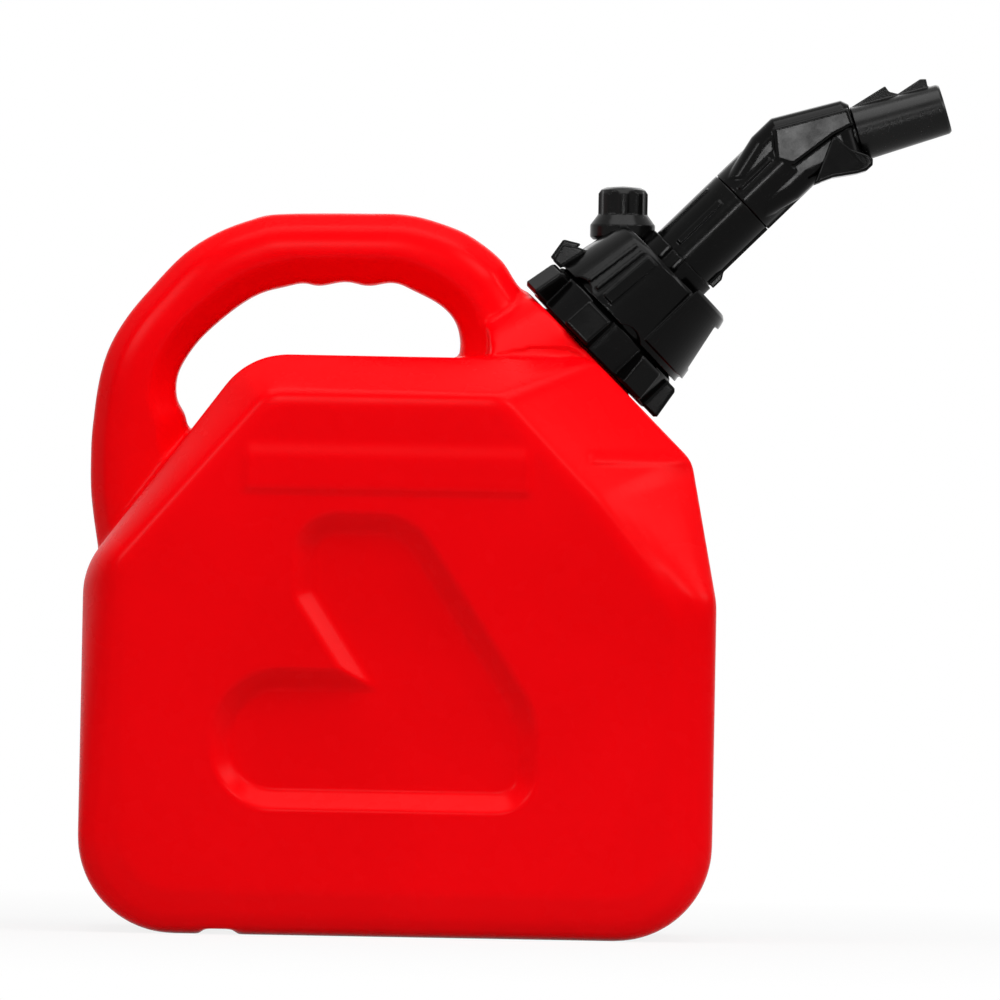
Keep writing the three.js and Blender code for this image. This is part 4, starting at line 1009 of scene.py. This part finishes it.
def elbow():
    inset = SLEEVE_RADIUS - ELBOW_START_INSET
    side = [(inset, ELBOW_START_Z), (SLEEVE_RADIUS, ELBOW_FULL_Z), *on_elbow(ELBOW_SHARES),
            *ELBOW_BACK, (-inset, ELBOW_START_Z)]
    cheek = [on_outlet(u, v) for u, v in CHEEK]
    adds = [rod(SLEEVE_RADIUS, ELBOW_LOW, ELBOW_TUBE_TOP),
            plate(side, ELBOW_HALF, ELBOW_BEVEL, ELBOW_BEVEL_STEPS),
            plate(cheek, CHEEK_HALF, CHEEK_BEVEL)]
    rib = block((SLEEVE_RADIUS - RIB_SINK, -ELBOW_RIB_HALF, ELBOW_LOW + ELBOW_RIB_LIFT),
                (SLEEVE_RADIUS + RIB_RISE, ELBOW_RIB_HALF, ELBOW_RIB_TOP))
    for turn in (-1, 1):
        adds.append(about_z(rib, turn * ELBOW_RIB_TURN_SHARE * math.pi))
    inner, outer, top = ELBOW_KEEL
    adds.append(plate([(inner, ELBOW_LOW), (inner, top), (outer, top), (outer, ELBOW_LOW)],
                      KEEL_HALF))
    cuts = [rod(*bore) for bore in ELBOW_BORES]
    cuts += [turned(rod(*bore), TO_ELBOW) for bore in OUTLET_BORES]
    return moulded("elbow", adds, cuts, NECK, HOUSING_SOFTNESS)


# The hook: outline as the elbow's, and the room for the elbow inside it
HOOK_SHARES = [
    (0.15, -1.01), (0.46, -0.97), (0.82, -1.05), (0.98, -1.05), (1.09, -0.95), (1.12, -0.79),
    (1.07, -0.65), (0.86, -0.38), (0.75, -0.1), (0.7, 0.06), (0.63, 0.12),
]
HOOK_ROOM_SHARES = [(-0.69, 2.5), (-0.69, -0.994), (0.166, -1.006), (1.01, -0.794), (1.01, 2.5)]
HOOK_ROOM_HALF = 14.8
HOOK_HALF = 17.6
HOOK_BEVEL = 1.0
HOOK_BORE = (12.5, 28, 70)
HOOK_LEAN_SHARE = 0.09
HOOK_LEAN_START = 11
HOOK_LEAN_RISE = 14


def leaned(shape):
    """Narrows the hook's flanks a little towards their top."""
    s, c = math.sin(ELBOW_BEND), math.cos(ELBOW_BEND)
    points = []
    for x, y, z in shape[0]:
        rise = (HOOK_LEAN_START - c * x + s * (z - ELBOW_Z)) / HOOK_LEAN_RISE
        points.append((x, y * (1 - HOOK_LEAN_SHARE * min(max(rise, 0), 1)), z))
    return points, shape[1]


def hook():
    cuts = [plate(on_elbow(HOOK_ROOM_SHARES), HOOK_ROOM_HALF), turned(rod(*HOOK_BORE), TO_ELBOW)]
    saddle = leaned(plate(on_elbow(HOOK_SHARES), HOOK_HALF, HOOK_BEVEL))
    return moulded("hook_saddle", [saddle], cuts, NECK, OUTLET_SOFTNESS)


# The nozzle, in the frame of the outlet. Barbs as shares of its length and of its root radius
NOZZLE_PLAY = 0.3
NOZZLE_TIP = 69.6
NOZZLE_ROOT_RADIUS = 12.2
NOZZLE_END_RADIUS = 11.2
NOZZLE_END_EDGE = 1.2
NOZZLE_TIP_RADIUS = 10.4
NOZZLE_BORE = 8.8
NOZZLE_TIP_BORE = 8.2
SPIGOT_RADIUS = 11
SPIGOT_LOW = 20.9
BARB_SHARES = [
    [(0.007, 0.74), (0.007, 0.98), (0.44, 1.385), (0.466, 1.15), (0.554, 0.98), (0.554, 0.74)],
    [(0.542, 0.74), (0.542, 0.98), (0.825, 1.27), (0.889, 1.213), (0.884, 0.98), (0.911, 0.74)],
]
BARB_HALF = 1.8
BARB_TAPER_SHARE = 0.3
BARB_TAPER_START = 9
BARB_TAPER_RISE = 8


def tapered(shape):
    """Narrows a barb towards its top, which points along -X."""
    points = []
    for x, y, z in shape[0]:
        rise = min(max((-x - BARB_TAPER_START) / BARB_TAPER_RISE, 0), 1)
        points.append((x, y * (1 - BARB_TAPER_SHARE * rise), z))
    return points, shape[1]


def nozzle():
    start, tip = NOZZLE_START + NOZZLE_PLAY, NOZZLE_TIP
    adds = [lathe([
        (NOZZLE_BORE, SPIGOT_LOW), (SPIGOT_RADIUS, SPIGOT_LOW), (SPIGOT_RADIUS, start),
        (NOZZLE_ROOT_RADIUS, start), (NOZZLE_END_RADIUS, tip - NOZZLE_END_EDGE),
        (NOZZLE_TIP_RADIUS, tip), (NOZZLE_TIP_BORE, tip)])]
    for shares in BARB_SHARES:
        barb = [(-v * NOZZLE_ROOT_RADIUS, NOZZLE_START + u * (tip - NOZZLE_START))
                for u, v in shares]
        adds.append(tapered(plate(barb, BARB_HALF)))
    return moulded("outlet", adds, [], ELBOW, OUTLET_SOFTNESS)


finish_piece(can_piece(), "can", "can_red", RED, "can_body", "can_neck", "can_handle")
finish_piece(collar_ring(), "collar", "spout_black", BLACK, "collar_ring")
finish_piece(shroud(), "spout", "spout_black", BLACK, "spout_shroud")
finish_piece(spout_base(), "spout", "spout_black", BLACK, "spout_base")
finish_piece(release_tab(), "tab", "spout_black", BLACK, "release_tab")
finish_piece(vent_knob(), "vent_cap", "knob_black", KNOB_BLACK, "vent_cap")
finish_piece(sleeve(), "sleeve", "spout_black", BLACK, "sleeve_tube")
finish_piece(elbow(), "sleeve", "spout_black", BLACK, "elbow_housing")
finish_piece(hook(), "sleeve", "spout_black", BLACK, "hook")
finish_piece(nozzle(), "sleeve", "nozzle_black", GLOSS_BLACK, "nozzle")

# CAD nodes that stay get the material of their slot
SLOT_MATERIALS = {"inner_black": INNER_BLACK, "rubber": RUBBER, "steel": STEEL, "natural": NATURAL}
for entry in frame["record"]["subparts"]:
    node = frame["nodes"][entry["node"]]
    material = SLOT_MATERIALS.get(entry["material_slot"])
    if material:
        node.data.materials.clear()
        node.data.materials.append(material)


# Stage, lights and camera, in metres and watts
PLAIN_SPREAD = 180
FLOOR_REACH = 12.0
FLOOR_GREY = 0.55
FLOOR_ROUGHNESS = 0.9
# From and to a distance from the object, and the shares of white seen in the floor there
FLOOR_FADE = (0.2, 0.8, 0.85, 1.0)
WHITE = (1, 1, 1, 1)
WORLD_LIGHT = 0.05
WORLD_SEEN = 1.0
CENTRE = (0.05, 0, 0.18)
# Name, place, aim, width, height, power and spread. The narrow beam gives the spout its glint
LAMPS = [
    ("right_high", (1.05, -1.5, 1.45), CENTRE, 0.5, 0.4, 9, PLAIN_SPREAD),
    ("right_side", (1.6, -0.5, 1.15), CENTRE, 0.7, 0.6, 9, PLAIN_SPREAD),
    ("left_high", (-1.3, -1.4, 1.1), CENTRE, 0.5, 0.4, 9, PLAIN_SPREAD),
    ("front_high", (-0.15, -1.9, 1.15), CENTRE, 0.3, 0.2, 6.5, PLAIN_SPREAD),
    ("spout_glint", (0.22, -2.4, 0.42), (0.16, 0, 0.335), 0.22, 0.16, 0.0085, 6),
    ("top", (0.1, -0.4, 1.9), CENTRE, 1.8, 1.4, 33, PLAIN_SPREAD),
    ("back", (0.2, 1.6, 1.2), CENTRE, 1.4, 0.8, 5, PLAIN_SPREAD),
]


def area_light(name, place, aim, width, height, power, spread):
    lamp = bpy.data.lights.new(name, "AREA")
    lamp.spread = math.radians(spread)
    lamp.shape = "RECTANGLE"
    lamp.size, lamp.size_y = width, height
    lamp.energy = power
    item = bpy.data.objects.new(name, lamp)
    item.location = place
    item.rotation_euler = (Vector(aim) - Vector(place)).to_track_quat("-Z", "Y").to_euler()
    bpy.context.scene.collection.objects.link(item)


def seen_rays(tree):
    """One for what the camera sees, straight or by a shiny or clear surface; zero otherwise."""
    rays = tree.nodes.new("ShaderNodeLightPath")
    total = rays.outputs["Is Camera Ray"]
    for name in ("Is Glossy Ray", "Is Transmission Ray"):
        either = tree.nodes.new("ShaderNodeMath")
        either.operation = "MAXIMUM"
        tree.links.new(total, either.inputs[0])
        tree.links.new(rays.outputs[name], either.inputs[1])
        total = either.outputs[0]
    return total


def white_floor():
    mesh = bpy.data.meshes.new("floor")
    reach = FLOOR_REACH
    corners = [(-reach, -reach, 0), (reach, -reach, 0), (reach, reach, 0), (-reach, reach, 0)]
    mesh.from_pydata(corners, [], [(0, 1, 2, 3)])
    floor = bpy.data.objects.new("floor", mesh)
    bpy.context.scene.collection.objects.link(floor)
    material = bpy.data.materials.new("pale_floor")
    material.use_nodes = True
    tree = material.node_tree
    shader = tree.nodes["Principled BSDF"]
    shader.inputs["Base Color"].default_value = (FLOOR_GREY, FLOOR_GREY, FLOOR_GREY, 1)
    shader.inputs["Roughness"].default_value = FLOOR_ROUGHNESS
    glow = tree.nodes.new("ShaderNodeEmission")
    glow.inputs["Color"].default_value = WHITE
    place = tree.nodes.new("ShaderNodeTexCoord")
    distance = tree.nodes.new("ShaderNodeVectorMath")
    distance.operation = "LENGTH"
    tree.links.new(place.outputs["Object"], distance.inputs[0])
    fade = tree.nodes.new("ShaderNodeMapRange")
    for key, number in zip(RANGE_ENDS, FLOOR_FADE):
        fade.inputs[key].default_value = number
    tree.links.new(distance.outputs["Value"], fade.inputs["Value"])
    share = tree.nodes.new("ShaderNodeMath")
    share.operation = "MULTIPLY"
    tree.links.new(fade.outputs["Result"], share.inputs[1])
    tree.links.new(seen_rays(tree), share.inputs[0])
    mix = tree.nodes.new("ShaderNodeMixShader")
    tree.links.new(share.outputs[0], mix.inputs[0])
    tree.links.new(shader.outputs[0], mix.inputs[1])
    tree.links.new(glow.outputs[0], mix.inputs[2])
    tree.links.new(mix.outputs[0], tree.nodes["Material Output"].inputs["Surface"])
    mesh.materials.append(material)


def pale_world():
    world = bpy.data.worlds.new("pale")
    bpy.context.scene.world = world
    world.use_nodes = True
    tree = world.node_tree
    plain = tree.nodes["Background"]
    plain.inputs["Color"].default_value = WHITE
    plain.inputs["Strength"].default_value = WORLD_LIGHT
    bright = tree.nodes.new("ShaderNodeBackground")
    bright.inputs["Color"].default_value = WHITE
    bright.inputs["Strength"].default_value = WORLD_SEEN
    mix = tree.nodes.new("ShaderNodeMixShader")
    tree.links.new(seen_rays(tree), mix.inputs[0])
    tree.links.new(plain.outputs[0], mix.inputs[1])
    tree.links.new(bright.outputs[0], mix.inputs[2])
    tree.links.new(mix.outputs[0], tree.nodes["World Output"].inputs["Surface"])


SENSOR_WIDTH = 36
CLIP_END = 60
CAMERA_DISTANCE = 8.0
PHOTO_MM_PER_PIXEL = 0.44
PHOTO_PIXELS = 1000
PHOTO_ROLL = math.radians(1.05)
AIM = Vector((43.1 * MM, 0, 191.6 * MM))


def photo_camera():
    lens = bpy.data.cameras.new("photo_camera")
    lens.sensor_width = SENSOR_WIDTH
    lens.lens = lens.sensor_width * CAMERA_DISTANCE / (PHOTO_MM_PER_PIXEL * PHOTO_PIXELS * MM)
    lens.clip_end = CLIP_END
    camera = bpy.data.objects.new("photo_camera", lens)
    camera.matrix_world = (Matrix.Translation(AIM + Vector((0, -CAMERA_DISTANCE, 0)))
                           @ Matrix.Rotation(math.pi / 2, 4, "X")
                           @ Matrix.Rotation(PHOTO_ROLL, 4, "Z"))
    bpy.context.scene.collection.objects.link(camera)
    bpy.context.scene.camera = camera


white_floor()
pale_world()
for settings in LAMPS:
    area_light(*settings)
photo_camera()
bpy.context.scene.view_settings.view_transform = "Standard"
